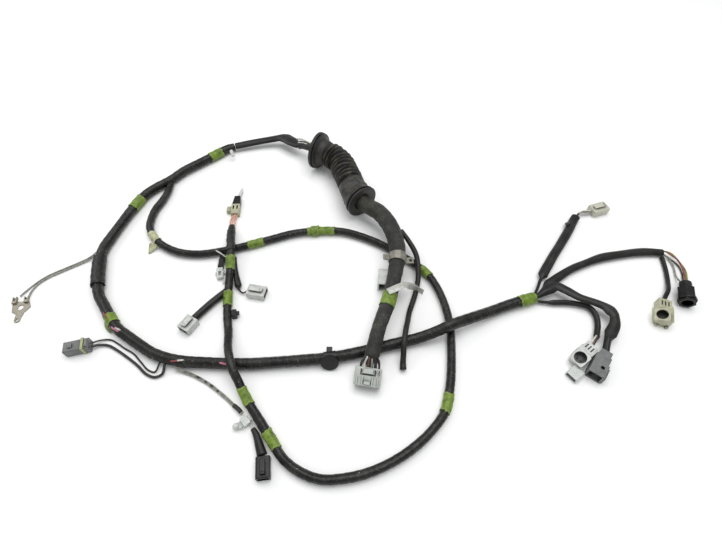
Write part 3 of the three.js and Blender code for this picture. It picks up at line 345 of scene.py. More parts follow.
class Route:  # a smooth line through given points, with an upright frame along it
    splits = 24  # fine points to each stretch between two given ones

    def __init__(self, points, step=1.5):
        points = [plan(*p) for p in points]
        points = [points[0] * 2 - points[1]] + points + [points[-1] * 2 - points[-2]]
        fine = []
        for i in range(1, len(points) - 2):
            a, b, c, d = points[i - 1:i + 3]
            t1 = max((b - a).length, 1e-9) ** 0.5
            t2 = t1 + max((c - b).length, 1e-9) ** 0.5
            t3 = t2 + max((d - c).length, 1e-9) ** 0.5
            for k in range(self.splits):
                t = t1 + (t2 - t1) * k / self.splits
                ab = a.lerp(b, t / t1)
                bc = b.lerp(c, (t - t1) / (t2 - t1))
                cd = c.lerp(d, (t - t2) / (t3 - t2))
                early, late = ab.lerp(bc, t / t2), bc.lerp(cd, (t - t1) / (t3 - t1))
                fine.append(early.lerp(late, (t - t1) / (t2 - t1)))
        fine.append(points[-2])
        gone = [0.0]
        for p, q in zip(fine, fine[1:]):
            gone.append(gone[-1] + (q - p).length)
        self.length = gone[-1]
        self.count = max(4, round(self.length / (step * mm)))
        self.points, j = [], 0
        for i in range(self.count + 1):
            want = self.length * i / self.count
            while j < len(gone) - 2 and gone[j + 1] < want:
                j += 1
            share = (want - gone[j]) / max(gone[j + 1] - gone[j], 1e-12)
            self.points.append(fine[j].lerp(fine[j + 1], min(1, share)))
        self.relief = lambda s, turn: 0.0
        self.size = lambda share: (0.0, 0.0)
        self.lens = 0.0  # above 0 the section narrows to its two edges, as flat sleeving does

    def at(self, s):  # point, up, side and tangent at a distance along, in metres
        place = min(max(s / self.length * self.count, 0), self.count - 1e-6)
        i = int(place)
        point = self.points[i].lerp(self.points[i + 1], place - i)
        low, high = max(0, i - 1), min(self.count, i + 2)
        tangent = (self.points[high] - self.points[low]).normalized()
        up = (Vector((0, 0, 1)) - tangent * tangent.z).normalized()
        return point, up, up.cross(tangent), tangent

    def nearest(self, spot):
        target = plan(*spot)
        i = min(range(len(self.points)), key=lambda k: (self.points[k] - target).length)
        return self.length * i / self.count

    def surface(self, s, turn, extra=0.0):  # a point on the skin; turn 0 is the top
        point, up, side, tangent = self.at(s)
        tall, wide = self.size(s / self.length)
        angle = turn * 2 * math.pi
        more = extra + self.relief(s, turn)
        high = math.cos(angle) * abs(math.cos(angle)) ** self.lens
        place = point + up * high * (tall / 2 + more) + side * math.sin(angle) * (wide / 2 + more)
        place.z = max(place.z, shift.z)  # the skin flattens on the floor
        return place


def reading(pairs, share):  # straight-line reading of (share, value) pairs, in millimetres
    if share <= pairs[0][0]:
        return pairs[0][1] * mm
    for (s0, v0), (s1, v1) in zip(pairs, pairs[1:]):
        if share <= s1:
            return (v0 + (v1 - v0) * (share - s0) / (s1 - s0)) * mm
    return pairs[-1][1] * mm


def addPiece(name, bm, material, smooth=True):  # a finished mesh at the origin
    bmesh.ops.recalc_face_normals(bm, faces=bm.faces)
    mesh = bpy.data.meshes.new(name)
    bm.to_mesh(mesh)
    bm.free()
    piece = bpy.data.objects.new(name, mesh)
    bpy.context.collection.objects.link(piece)
    mesh.materials.append(material)
    for polygon in mesh.polygons:
        polygon.use_smooth = smooth
    return piece


def skinRings(bm, rings, alongs, closed):  # quads between rings, with the UV map
    uvLayer = bm.loops.layers.uv.verify()
    count = len(rings[0])
    pairs = list(zip(range(len(rings)), range(1, len(rings))))
    if closed:
        pairs.append((len(rings) - 1, 0))
    for i, j in pairs:
        for k in range(count):
            n = (k + 1) % count
            face = bm.faces.new((rings[i][k], rings[i][n], rings[j][n], rings[j][k]))
            values = ((alongs[i], k), (alongs[i], k + 1), (alongs[j], k + 1), (alongs[j], k))
            for loop, (along, turn) in zip(face.loops, values):
                loop[uvLayer].uv = (along, turn / count)


def tubeInto(bm, route, sides, step):  # a closed tube along a route whose sizes are set
    count = max(6, round(route.length / (step * mm)))
    rings, alongs = [], []
    for i in range(count + 1):
        s = route.length * i / count
        rings.append([bm.verts.new(route.surface(s, k / sides)) for k in range(sides)])
        alongs.append(s)
    skinRings(bm, rings, alongs, False)
    for ring, s, way in ((rings[0], 0, -1), (rings[-1], route.length, 1)):  # domed ends
        point, up, side, tangent = route.at(s)
        inner = [bm.verts.new(point + (v.co - point) * 0.82 + tangent * way * 0.3 * mm) for v in ring]
        centre = bm.verts.new(point + tangent * way * 0.35 * mm)
        for k in range(sides):
            n = (k + 1) % sides
            bm.faces.new((ring[k], ring[n], inner[n], inner[k]))
            bm.faces.new((inner[k], inner[n], centre))


def layTube(name, route, tall, wide, material, sides, step, relief):
    route.size = lambda share: (reading(tall, share), reading(wide, share))
    route.relief = relief
    bm = bmesh.new()
    tubeInto(bm, route, sides, step)
    return addPiece(name, bm, material)


fullTurn = 6.283  # in radians, to the digits that the noise patterns were chosen with


def ringSpot(turn, size):  # noise read round a ring closes on itself
    return math.cos(turn * fullTurn) * size, math.sin(turn * fullTurn) * size


# Lumps, creases and swells of a skin per metre, and heights in millimetres
woundSkin = {"edge": 0.9, "fall": 9, "lumps": 26, "creases": 170, "swells": 11, "creaseHigh": 0.07}
sleeveSkin = {"lumps": 40, "creases": 210, "creaseHigh": 0.05}


# How a wound bundle's skin stands out: tape steps, the wires under it, lumps and creases
def woundRelief(pitch, wires, depth, wireDepth, lumps, seed):
    skin = woundSkin
    lay = 0.13 + 0.02 * wires  # metres in which the wires twist once round

    def relief(s, turn):
        phase = s / (pitch * mm) + turn
        phase -= math.floor(phase)
        stepUp = phase if phase < skin["edge"] else (1 - phase) * skin["fall"]
        strands = math.cos(2 * math.pi * (wires * turn + s / lay + seed))
        low = noise.noise(Vector((s * skin["lumps"] + seed * 7, *ringSpot(turn, 0.8))))
        fine = noise.noise(Vector((s * skin["creases"] + seed, turn * 9, seed)))
        swell = 0.5 + 0.5 * noise.noise(Vector((s * skin["swells"], seed * 3, 4.0)))
        tape = depth * (stepUp - 0.5)
        return (tape + wireDepth * strands * swell + lumps * low + skin["creaseHigh"] * fine) * mm
    return relief


def sleeveRelief(lumps, seed):
    def relief(s, turn):
        low = noise.noise(Vector((s * sleeveSkin["lumps"] + seed * 5, *ringSpot(turn, 0.7))))
        fine = noise.noise(Vector((s * sleeveSkin["creases"], turn * 7, seed)))
        return (lumps * low + sleeveSkin["creaseHigh"] * fine) * mm
    return relief


def rigid(piece, nodes=()):  # fixed to the body, in place of the nodes
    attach(piece, "root")
    if nodes:
        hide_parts(*nodes)
    return piece


def declareCord(piece, route, nodes):
    rigid(piece, nodes)
    stride = max(1, route.count // max(8, round(route.length / 0.005)))
    path = [tuple(p) for p in route.points[::stride]]
    if route.count % stride:
        path.append(tuple(route.points[-1]))


def layWires(name, runs, diameter, material, nodes=()):  # short wires of one colour
    bm = bmesh.new()
    for points in runs:
        route = Route(points, 1.0)
        route.size = lambda share: (diameter * mm, diameter * mm)
        tubeInto(bm, route, 10, 1.2)
    return rigid(addPiece(name, bm, material), nodes)


crest = {"points": 7, "high": 0.5, "sink": 6.5}


def overBundle(route, spot, reach, turn, drift):  # a run out of a bundle and back into it
    middle = route.nearest(spot)
    run = []
    for i in range(crest["points"]):
        share = i / (crest["points"] - 1) - 0.5
        high = (crest["high"] - crest["sink"] * share ** 2) * mm
        place = route.surface(middle + share * reach * mm, turn + drift * share, high)
        run.append(tuple((place - shift) / mm))
    return run


def onlyActive(piece):
    bpy.ops.object.select_all(action="DESELECT")
    piece.select_set(True)
    bpy.context.view_layer.objects.active = piece


recessRays = {"count": 16, "reach": 10, "spin": 2.4, "off": 0.05, "longEdge": 1.8}


# Share of the rays from each corner that meet the piece itself within a few millimetres: 1
# deep in a mouth or slot, 0 on an open face. The nylon materials paint shade into their colour from it.
def measureRecess(piece):
    rays = recessRays["count"]
    bm = bmesh.new()
    bm.from_mesh(piece.data)
    bmesh.ops.triangulate(bm, faces=bm.faces)
    for _ in range(3):
        longEdges = [e for e in bm.edges if e.calc_length() > recessRays["longEdge"] * mm]
        bmesh.ops.subdivide_edges(bm, edges=longEdges, cuts=1)
        bmesh.ops.triangulate(bm, faces=bm.faces)
    tree = BVHTree.FromBMesh(bm)
    bm.normal_update()
    values = []
    for vertex in bm.verts:
        out = vertex.normal
        side = out.orthogonal().normalized()
        across = out.cross(side)
        met = 0
        for k in range(rays):
            angle, lift = recessRays["spin"] * k, (k + 0.5) / rays
            flat = math.sqrt(1 - lift * lift)
            ray = side * math.cos(angle) * flat + across * math.sin(angle) * flat + out * lift
            start = vertex.co + out * recessRays["off"] * mm
            if tree.ray_cast(start, ray, recessRays["reach"] * mm)[0]:
                met += 1
        values.append(met / rays)
    bm.to_mesh(piece.data)
    bm.free()
    layer = piece.data.attributes.new("recess", "FLOAT", "POINT")
    layer.data.foreach_set("value", values)


mouldedEdge = {"merge": 0.00001, "flatBelow": 1.5, "roundFrom": 35, "smoothBelow": 40}  # degrees


# Connector housings: the CAD node is copied, merged and given the moulded edge radius
def mouldedCopy(name, material, radius):
    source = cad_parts[name]
    bm = bmesh.new()
    bm.from_mesh(source.data)
    bmesh.ops.remove_doubles(bm, verts=bm.verts, dist=mouldedEdge["merge"])
    flat = math.radians(mouldedEdge["flatBelow"])
    bmesh.ops.dissolve_limit(bm, angle_limit=flat, verts=bm.verts, edges=bm.edges)
    piece = addPiece(name + "_moulded", bm, material, False)
    onlyActive(piece)
    bevel = piece.modifiers.new("edge", "BEVEL")
    bevel.width = radius * mm
    bevel.segments = 2
    bevel.limit_method = "ANGLE"
    bevel.angle_limit = math.radians(mouldedEdge["roundFrom"])
    bpy.ops.object.modifier_apply(modifier="edge")
    measureRecess(piece)
    bpy.ops.object.shade_smooth_by_angle(angle=math.radians(mouldedEdge["smoothBelow"]))
    return rigid(piece, [name])


moulded = {
    "big_connector": (stemNylon, 0.35),
    "side_connector": (whiteNylon, 0.3),
    "block_connector": (warmNylon, 0.3),
    "cream_connector": (creamNylon, 0.35),
    "black_connector": (blackNylon, 0.35),
    "white_connector": (whiteNylon, 0.35),
    "grey_connector": (greyNylon, 0.3),
    "clear_connector": (clearNylon, 0.2),
    "two_way_connector": (greyNylon, 0.25),
    "earth_bracket": (platedSteel, 0.15),
    "latch_connector": (blackNylon, 0.25),
    "latch_clip": (clearNylon, 0.25),
    "cluster_plug": (blackNylon, 0.25),
    "cluster_clip": (clearNylon, 0.2),
    "cluster_connector": (whiteNylon, 0.25),
    "square_connector": (whiteNylon, 0.25),
    "side_clip": (blackNylon, 0.25),
    "junction_connector": (creamNylon, 0.25),
    "junction_cap": (blackNylon, 0.3),
    "round_clip": (blackNylon, 0.25),
    "band_clamp": (bandZinc, 0.2),
}
housings = {name: mouldedCopy(name, *settings) for name, settings in moulded.items()}


# Gives a housing another material between two depths from its rear
def paintSlice(name, place, yaw, low, high, material):
    piece = housings[name]
    piece.data.materials.append(material)
    corner = plan(*place)
    turned = math.radians(yaw)
    for polygon in piece.data.polygons:
        offset = (polygon.center - corner) / mm
        if low < offset.y * math.cos(turned) - offset.x * math.sin(turned) < high:
            polygon.material_index = 1


paintSlice("two_way_connector", (-284.6, -115.8), 104, 4.6, 8, retainerNylon)
paintSlice("junction_cap", (-164, 87), 3, 14.6, 60, clearNylon)
print("scene: connectors and clips shaped")


# Bundles. The thick cloth-taped stem comes first.
stem = Route([
    (-88.4, 192.6, 17.4), (-80, 187, 21), (-68, 177, 25), (-56, 171, 25), (-42, 163, 25), (-29, 149, 25),
    (-20, 127, 25), (-12, 103, 25), (-4, 83, 24.5), (6, 69, 24.5), (22, 56, 24.5), (35, 34, 24.5),
    (41, 10, 24), (42, -12, 23.5), (39, -33, 23), (36, -47, 23), (29, -75, 22.5), (19, -104, 22.3),
    (13, -127, 21), (10.6, -135, 19), (9.1, -139.8, 16.8), (8.3, -144.9, 14.3),
])
stemSizes = [
    (0, 8), (0.06, 9), (0.1, 14), (0.37, 14), (0.385, 20), (0.62, 20), (0.72, 15.5), (0.972, 15.5),
    (0.98, 8), (1, 7),
]
stemPiece = layTube("stemBundle", stem, stemSizes, stemSizes, clothTape, 28, 1.4,
                    woundRelief(12.5, 6, 0.4, 0.35, 0.9, 1.3))

trunk = Route([
    (-185, 203, 7), (-196, 197, 7), (-209, 185, 7), (-228, 168, 7), (-247, 151, 7), (-262, 132, 7),
    (-277, 118, 7), (-287, 105, 7), (-294, 88, 7), (-300, 69, 7), (-305, 50, 7), (-310, 29, 7),
    (-313, 14, 7), (-312, -3, 7.6), (-308, -20, 7.6), (-302, -40, 7.6), (-295, -56, 7), (-286, -68, 7),
    (-273, -85, 7), (-262, -97, 7), (-246, -108, 7), (-230, -118, 7), (-214, -127, 7), (-191, -134, 7),
    (-158, -137, 7), (-118, -138, 7), (-85, -136, 7), (-52, -133.4, 7), (-32, -131.6, 7), (-10, -127.4, 7),
    (31, -117, 7), (58, -110, 8), (77, -105, 13), (94, -99, 17.3), (114, -90, 14), (145, -76, 7.6),
    (170, -66, 7), (196, -58, 7),
])
trunkSizes = [(0, 10.4), (0.01, 11.8), (0.99, 11.8), (1, 10.6)]
trunkPiece = layTube("trunkBundle", trunk, trunkSizes, trunkSizes, trunkVinyl, 24, 1.5,
                     woundRelief(9.5, 5, 0.26, 0.22, 0.5, 0.4))

loop = Route([
    (-260, 128, 5.6), (-260, 112, 5.6), (-263, 95, 5.6), (-268, 79, 5.6), (-269, 63, 5.6),
    (-267, 48, 5.6), (-256, 30, 5.6), (-242, 18, 5.6), (-227, 10, 5.6), (-212, 6, 5.6), (-194, 5, 5.6),
    (-175, 8, 5.6), (-150, 15, 5.6), (-112, 28, 5.6), (-83, 38, 5.6), (-50, 42, 5.6), (-24, 41, 5.6),
    (0, 33, 5.6), (25, 20, 5.6), (48, 3, 5.6), (66, -12, 5.6), (78, -25, 5.6), (87, -43, 5.6),
    (93, -64, 5.6), (96, -90, 5.6), (95, -116, 5.6), (92, -142, 5.6), (88, -163, 5.6), (81, -186, 5.6),
    (66, -205, 5.6), (50, -219, 5.6), (31, -231, 5.6), (8, -241, 5.6), (-14, -246, 5.6), (-36, -247, 5.6),
    (-56, -240, 5.6), (-71, -229, 5.6), (-83, -213, 5.6), (-98, -193, 5.6), (-112, -174, 6.4),
    (-121, -159, 11), (-127, -149, 17), (-132, -136, 18.6), (-137, -122, 14), (-142, -101, 6.6),
    (-147, -80, 5.6), (-150, -59, 5.6), (-152, -38, 7), (-153, -14, 13), (-155, 6, 16), (-158, 22, 15),
    (-162, 46, 9),
])
loopSizes = [(0, 8.4), (0.01, 9), (0.995, 9), (1, 8)]
loopPiece = layTube("loopBundle", loop, loopSizes, loopSizes, trunkVinyl, 22, 1.5,
                    woundRelief(9.5, 4, 0.22, 0.18, 0.4, 2.2))

spare = Route([
    (48.8, 31, 18.3), (58, 16, 15.6), (65, -2, 14.6), (66.5, -18, 13.6), (66, -33, 8.6), (63, -47, 4.2),
    (59, -60, 4.2), (54, -74, 5), (50, -91, 11), (47, -104, 16.6), (44.5, -119, 16.8), (43.5, -130, 11),
    (43, -137, 5.4), (43, -143, 4.2),
])
spareSizes = [(0, 6.1), (0.95, 6.1), (1, 7)]
sparePiece = layTube("spareTube", spare, spareSizes, spareSizes, tubeVinyl, 16, 1.5, sleeveRelief(0.2, 3.0))

inlet = Route([
    (-183.6, 203.6, 7.5), (-165, 209, 8), (-148, 213, 9), (-128, 216, 11), (-114, 215, 14),
    (-102, 205, 16), (-94, 197, 16.5), (-89.8, 193.6, 16.9),
])
inletTall = [(0, 7.6), (0.55, 7), (0.75, 6.4), (0.9, 6), (1, 6)]
inletWide = [(0, 11.6), (0.5, 13), (0.62, 14), (0.72, 20), (0.8, 18.6), (0.86, 18.6), (1, 11)]
inlet.lens = 0.35
inletPiece = layTube("inletSleeve", inlet, inletTall, inletWide, sleeveVinyl, 20, 1.5, sleeveRelief(0.5, 1.0))

declareCord(stemPiece, stem, ["stem_bundle"])
declareCord(trunkPiece, trunk, ["trunk_bundle"])
declareCord(loopPiece, loop, ["loop_bundle"])
declareCord(sparePiece, spare, ["spare_tube"])
declareCord(inletPiece, inlet, ["inlet_sleeve"])
print("scene: main bundles laid")

# The four branches at the right-hand fork
branchA = Route([
    (196, -54.4, 8.8), (201, -46, 8), (206, -36.5, 6.6), (211, -28.6, 5.5), (224, -9, 5),
    (242, 16, 5), (262, 44, 5), (280, 69.6, 5), (287, 74, 5), (293, 75, 5), (298.6, 75.6, 5),
])
branchATall = [(0, 2), (0.16, 2.4), (0.19, 7), (0.86, 7), (0.875, 1.8), (1, 1.8)]
branchAWide = [(0, 3), (0.16, 4), (0.19, 11), (0.86, 11), (0.875, 2), (1, 2)]
branchA.lens = 0.5
branchAPiece = layTube("branchASleeve", branchA, branchATall, branchAWide, sleeveVinyl, 24, 1.4,
                       sleeveRelief(0.5, 2.0))

branchB = Route([
    (196.6, -56.4, 4.2), (204, -50, 4.2), (213, -41, 4.4), (224, -33, 4.8), (247, -18, 4.8),
    (268, -8, 4.8), (290, 0, 4.8), (318, 6, 4.8), (344, 9, 4.8), (366, 8, 4.8),
])
branchB.lens = 0.4
branchBTall = [(0, 3), (0.1, 4), (0.14, 7.4), (1, 7.4)]
branchBWide = [(0, 3), (0.1, 4), (0.14, 10.4), (0.5, 9.4), (0.62, 11.4), (1, 10)]
branchBPiece = layTube("branchBSleeve", branchB, branchBTall, branchBWide, sleeveVinyl, 24, 1.4,
                       sleeveRelief(0.7, 5.0))

branchC = Route([
    (197.2, -59.4, 9.4), (208, -52, 11), (221, -46, 11.6), (231, -52, 12), (243, -61, 12), (257, -67, 12),
    (268, -73, 11.6), (274.5, -82, 11), (272, -94, 11), (264, -105, 11), (258.6, -113, 10.6),
    (255.4, -120.6, 9), (253.4, -125.6, 7.8),
])
branchC.lens = 0.8
branchCTall = [(0, 4), (0.08, 5.4), (0.86, 5.4), (0.9, 7), (1, 7)]
branchCWide = [
    (0, 4), (0.06, 9), (0.13, 14.5), (0.22, 12), (0.45, 10), (0.56, 11), (0.62, 15), (0.68, 11),
    (0.84, 13.4), (0.9, 8), (1, 8),
]
branchCPiece = layTube("branchCSleeve", branchC, branchCTall, branchCWide, sleeveVinyl, 28, 1.3,
                       sleeveRelief(0.6, 6.0))

branchD = Route([
    (198.2, -61.6, 4.4), (212, -63, 4.4), (228, -63, 4.4), (243, -65, 4.4), (254, -69, 4.4),
    (258.6, -79, 4.4), (257, -92, 4.4), (253.6, -101, 4.4), (248.8, -110.5, 6), (241.4, -118.8, 6.4),
])
branchDSize = [(0, 3.4), (0.1, 4), (0.16, 6.6), (0.86, 6.6), (0.9, 2.4), (1, 2.4)]
branchD.lens = 0.3
branchDPiece = layTube("branchDSleeve", branchD, branchDSize, branchDSize, sleeveVinyl, 18, 1.4,
                       sleeveRelief(0.3, 7.0))

declareCord(branchAPiece, branchA, ["branch_a_sleeve", "branch_a_wires"])
declareCord(branchBPiece, branchB, ["branch_b_sleeve"])
declareCord(branchCPiece, branchC, ["branch_c_sleeve"])
declareCord(branchDPiece, branchD, ["branch_d_sleeve"])


# Single wires and short leads
def layWire(name, nodes, points, diameter, material):
    route = Route(points, 1.2)
    size = [(0, diameter)]
    piece = layTube(name, route, size, size, material, 12, 1.6, sleeveRelief(0.05, diameter))
    declareCord(piece, route, nodes)


layWire("yellowFanWire", ["branch_b_yellow_wire"], [
    (366.8, 9.4, 6), (376, 6, 5), (382, -5, 3), (384.5, -16, 2.6), (380, -29, 5), (373, -39.4, 9.4)],
    2, yellowWire)
layWire("greyFanWire", ["branch_b_grey_wire"], [
    (366.7, 6.4, 4), (372, 0, 2.6), (373, -12, 2), (370, -26, 2.6), (368.4, -39.4, 7.6)],
    2, greyWire)
layWire("redFanWire", [], [
    (367.8, 7, 8), (372.4, 0.4, 8.4), (377.6, -5.3, 7.4), (380.6, -11, 5), (379.6, -24.2, 4),
    (374.6, -34, 7.6), (370.6, -39.8, 11)],
    1.8, redWire)
layWire("blackFanWire", [], [
    (368, 5.4, 3), (374, -1, 2.4), (379.8, -10.5, 1.6), (379.4, -22, 1.6), (374.8, -32, 4),
    (371, -39.6, 7)],
    1.8, blackWire)
layWire("tapedBLead", ["branch_b_taped_lead"], [
    (364, 2.2, 3), (363, -6, 3), (361, -18, 3), (356.6, -34, 3.6), (350.4, -47.4, 6), (345, -54.6, 5.6),
    (339.1, -62, 5.5)],
    4.9, leadVinyl)
layWire("groundWireA", ["ground_wire_a"], [
    (-319.8, 9, 6), (-328, 2.6, 2.6), (-340, -5, 1.3), (-360, -18, 1.3), (-371, -26, 1.3), (-380, -37, 1.3),
    (-386, -47, 1.3), (-388.6, -53, 1.8)], 1.8, greyWire)
layWire("groundWireB", ["ground_wire_b"], [
    (-319.8, 5.6, 6), (-327, 0, 2.6), (-338, -7.4, 1.3), (-358, -20.4, 1.3), (-369, -28.4, 1.3),
    (-376, -37, 1.3), (-379, -46, 1.3), (-378.8, -52.6, 1.8)],
    1.8, greyWire)
layWire("thickLead", ["two_way_thick_wire"], [
    (-283, -117.6, 5), (-277, -115, 3), (-268, -115, 2), (-256, -121, 2), (-243, -129, 2),
    (-230, -138, 2), (-219, -147, 2), (-209, -150.4, 2), (-202, -147, 2.6), (-201, -138.2, 5.8)],
    2.8, blackWire)
layWire("thinLead", ["two_way_thin_wire"], [
    (-284.3, -113.4, 5), (-277, -109, 2.4), (-268, -108, 1.3), (-259, -112.4, 1.3), (-250, -118, 1.3),
    (-239, -124, 1.3), (-229, -133, 1.3), (-218, -142.6, 1.3), (-210.6, -144.6, 1.6), (-206.4, -136, 5.7)],
    1.8, blackWire)


# A pair of wires lying side by side, which twist a little round each other
def layPair(name, nodes, points, diameter, material, turns):
    route = Route(points, 1.2)
    count = 24
    bm = bmesh.new()
    for way in (-1, 1):
        run = []
        for i in range(count + 1):
            point, up, side, tangent = route.at(route.length * i / count)
            lean = 0.5 * math.sin(turns * 2 * math.pi * i / count)
            middle = point + (side * math.cos(lean) + up * math.sin(lean)) * way * diameter / 2 * mm
            run.append(tuple((middle - shift) / mm))
        single = Route(run, 1.2)
        single.size = lambda share: (diameter * mm, diameter * mm)
        tubeInto(bm, single, 10, 1.4)
    piece = addPiece(name, bm, material)
    declareCord(piece, route, nodes)


layPair("latchLead", ["latch_lead"], [
    (-189, -142, 5.4), (-180, -145, 2.6), (-169, -149, 2), (-151, -159, 2), (-137, -169, 2),
    (-124, -179.6, 2.4), (-117.6, -184.8, 3.4), (-114.4, -188, 4.4)],
    1.8, greyWire, 3)
print("scene: branches and wires laid")


# Short sleeves and leads, too short to be cords
def layShort(name, nodes, points, tall, wide, material):
    route = Route(points, 1.2)
    rigid(layTube(name, route, tall, wide, material, 18, 1.4, sleeveRelief(0.25, len(name))), nodes)


layShort("latchSleeve", ["latch_sleeve"], [
    (-101.6, -202.8, 4.6), (-98, -208, 4.6), (-94, -217, 4.6), (-89.9, -226.4, 4.8)],
    [(0, 5), (1, 7)], [(0, 5), (1, 10)], sleeveVinyl)
layShort("clusterSleeve", ["cluster_sleeve"], [
    (-153.4, -48, 5), (-159.2, -54.2, 5), (-166, -62, 5), (-174, -72, 5), (-182.6, -83.6, 5)],
    [(0, 7.8)], [(0, 8)], sleeveVinyl)
clusterSizes = [(0, 5), (0.3, 6), (0.55, 7.4), (0.68, 7.8), (0.76, 1.8), (1, 1.8)]
layShort("clusterLead", ["cluster_lead"], [
    (-150, -4, 11), (-148.6, -14, 9), (-145.6, -27, 6), (-142, -38, 4.6), (-139, -46.6, 3.8),
    (-134.6, -49.4, 3), (-129.6, -47.4, 5)],
    clusterSizes, clusterSizes, leadVinyl)
layWires("loopEndWires", [
    [(-163.4, 45.6, 8.4), (-166.4, 54, 6.4), (-166.8, 62, 5), (-165, 69.4, 4.6)],
    [(-161.4, 45.6, 10), (-163.6, 55, 7.4), (-164.4, 62, 5.4), (-162.6, 69.4, 5)]],
    2, orangeWire, ["loop_end_wires"])
layWires("loopEndSpareWire", [
    [(-160, 46, 8), (-160.6, 54, 5), (-162, 62, 3.4), (-160.8, 69.4, 4)]], 1.8, orangeWire)

# Bare wires between the stem's cloth tape and the big connector
stemEnd = [(blackWire, 2, ((0, 2), (3, 1), (5, 2), (1, 1))), (whiteWire, 2, ((1, 2), (4, 1))),
           (greyWire, 2, ((3, 2), (0, 1))), (brownWire, 2.2, ((2, 2), (5, 1))),
           (blackWire, 3.2, ((4, 2), (2, 1)))]
for i, (material, diameter, spots) in enumerate(stemEnd):
    runs = []
    for column, row in spots:
        high = 21.4 if row == 2 else 16.4
        runs.append([(6 + 1.9 * column, -134, high + 2), (3.4 + 2.6 * column, -138.4, high + 0.6),
                     (0.2 + 3.6 * column, -142.6, high - 2), (-0.6 + 3.7 * column, -147.4, high - 5.6)])
    layWires("stemEndWires" + str(i + 1), runs, diameter, material)

# Wires that show where the winding has opened, and at the ends of the sleeves
layWires("trunkRedWires", [
    overBundle(trunk, (-276.7, -84.9, 12), 13, -0.06, 0.05),
    overBundle(trunk, (-188.7, -136.2, 12), 10, -0.08, 0.06)], 2, redWire)
layWires("trunkPinkWires", [
    overBundle(trunk, (-262.6, -101.9, 12), 12, -0.08, 0.05),
    overBundle(trunk, (-139.2, -135.1, 12), 9, -0.07, -0.05)], 2, pinkWire)
layWires("trunkWhiteWires", [
    overBundle(trunk, (-259, -103, 12), 8, -0.02, 0.05),
    overBundle(trunk, (-184, -136.6, 12), 8, -0.05, 0.04)], 1.8, whiteWire)
layWires("trunkYellowWires", [overBundle(trunk, (-134.6, -136, 12), 7, -0.05, 0.05)], 1.8, yellowWire)
layWires("inletGreyWires", [
    [(-91.4, 204.4, 20.2), (-84.6, 200.2, 22.6), (-78, 193.4, 24.8), (-71, 186.8, 26.4)],
    [(-89.6, 196.6, 19.6), (-83, 191.8, 22.4), (-77, 186.6, 24.6), (-70.6, 181.6, 26)]], 2.4, whiteWire)
layWires("inletBlackWires", [
    [(-91, 200.6, 18.4), (-84, 196.4, 21.4), (-77, 190.4, 23.4), (-70.4, 184.4, 25)],
    [(-88.4, 193.2, 16), (-82, 189.4, 18), (-76, 184.4, 20), (-69.8, 179.6, 22)]], 2.6, blackWire)
layWires("blockEndGreyWires", [
    [(281.6, 70.4, 6.4), (287, 72.8, 6), (293, 73.4, 5.6), (299, 74.2, 5.2)],
    [(281, 71.6, 4.6), (286.6, 75.6, 4.4), (292.6, 77.2, 4.4), (299, 77.4, 4.6)]], 2, greyWire)
layWires("blockEndWhiteWire", [[(282, 71.4, 7), (287.4, 74.6, 7), (293, 75.6, 6.6), (299, 76, 6)]],
    1.8, whiteWire)
layWires("latchLeadEnds", [[(-124, -179.8, 2.8), (-120, -182.6, 3.4), (-115.6, -186.8, 4.4)]],
    4.4, blackWire)
layWires("latchLeadTicks", [
    [(-166, -150.4, 3), (-163.6, -151.6, 3)], [(-150.6, -159.2, 3), (-148.4, -160.4, 3)],
    [(-143, -164.8, 3), (-141.6, -165.8, 3)], [(-156.8, -155.4, 3), (-155.4, -156.2, 3)]], 2, blackWire)
layWires("whiteEndBrownWires", [
    [(252, -104.6, 6.4), (248.6, -109.4, 8.8), (244.8, -113.8, 9.8), (241.4, -119.4, 8)]],
    1.7, brownWire)
layWires("whiteEndPaleWire", [
    [(250.4, -105.6, 7), (246.4, -109.6, 9.6), (242.8, -113.4, 10.2), (239.4, -118.4, 8)]],
    1.5, whiteWire)


# A loose end or flap of tape or sleeve, through rows of points
def layTab(name, rows, material, thick=0.35):
    bm = bmesh.new()
    uvLayer = bm.loops.layers.uv.verify()
    grid = [[bm.verts.new(plan(*p)) for p in row] for row in rows]
    for low, high in zip(grid, grid[1:]):
        for k in range(len(low) - 1):
            face = bm.faces.new((low[k], low[k + 1], high[k + 1], high[k]))
            for loop in face.loops:
                loop[uvLayer].uv = loop.vert.co.xy
    piece = addPiece(name, bm, material)
    onlyActive(piece)
    smooth = piece.modifiers.new("smooth", "SUBSURF")
    smooth.levels = smooth.render_levels = 2
    film = piece.modifiers.new("film", "SOLIDIFY")
    film.thickness = thick * mm
    film.offset = 0
    bpy.ops.object.modifier_apply(modifier="smooth")
    bpy.ops.object.modifier_apply(modifier="film")
    return rigid(piece)


layTab("creamTapeEnd", [
    [(-260.6, 22, 6.4), (-254.6, 21, 7), (-248, 18.6, 6.4)],
    [(-260.4, 17, 3.8), (-256.6, 16, 4.2), (-252, 15, 3.8)],
    [(-260.2, 12, 1.6), (-258.4, 11.6, 1.8), (-256.2, 11.4, 1.6)],
    [(-260, 8.6, 0.6), (-259.7, 8.6, 0.6), (-259.4, 8.6, 0.6)]],
    creamTape)
layTab("trunkTapeFlap", [
    [(-277.4, -86, 9), (-270.4, -90.6, 10.4), (-264.6, -95.4, 9.4)],
    [(-279.6, -89.6, 4.6), (-273.8, -94.4, 5.4), (-268, -98.6, 4.8)],
    [(-278.8, -93.6, 1.4), (-274.6, -97.6, 1.8), (-270.6, -100.8, 1.4)]],
    greenTape)
layTab("blockSleeveFlap", [
    [(258, 47, 8.4), (263, 50, 9.2), (268, 52, 8.6)],
    [(259, 53.4, 6.6), (264.4, 55.4, 7.4), (269.6, 57, 6.8)],
    [(261, 57.4, 2.4), (265.4, 59.4, 3), (271, 60, 2.6)]],
    sleeveVinyl, 0.6)
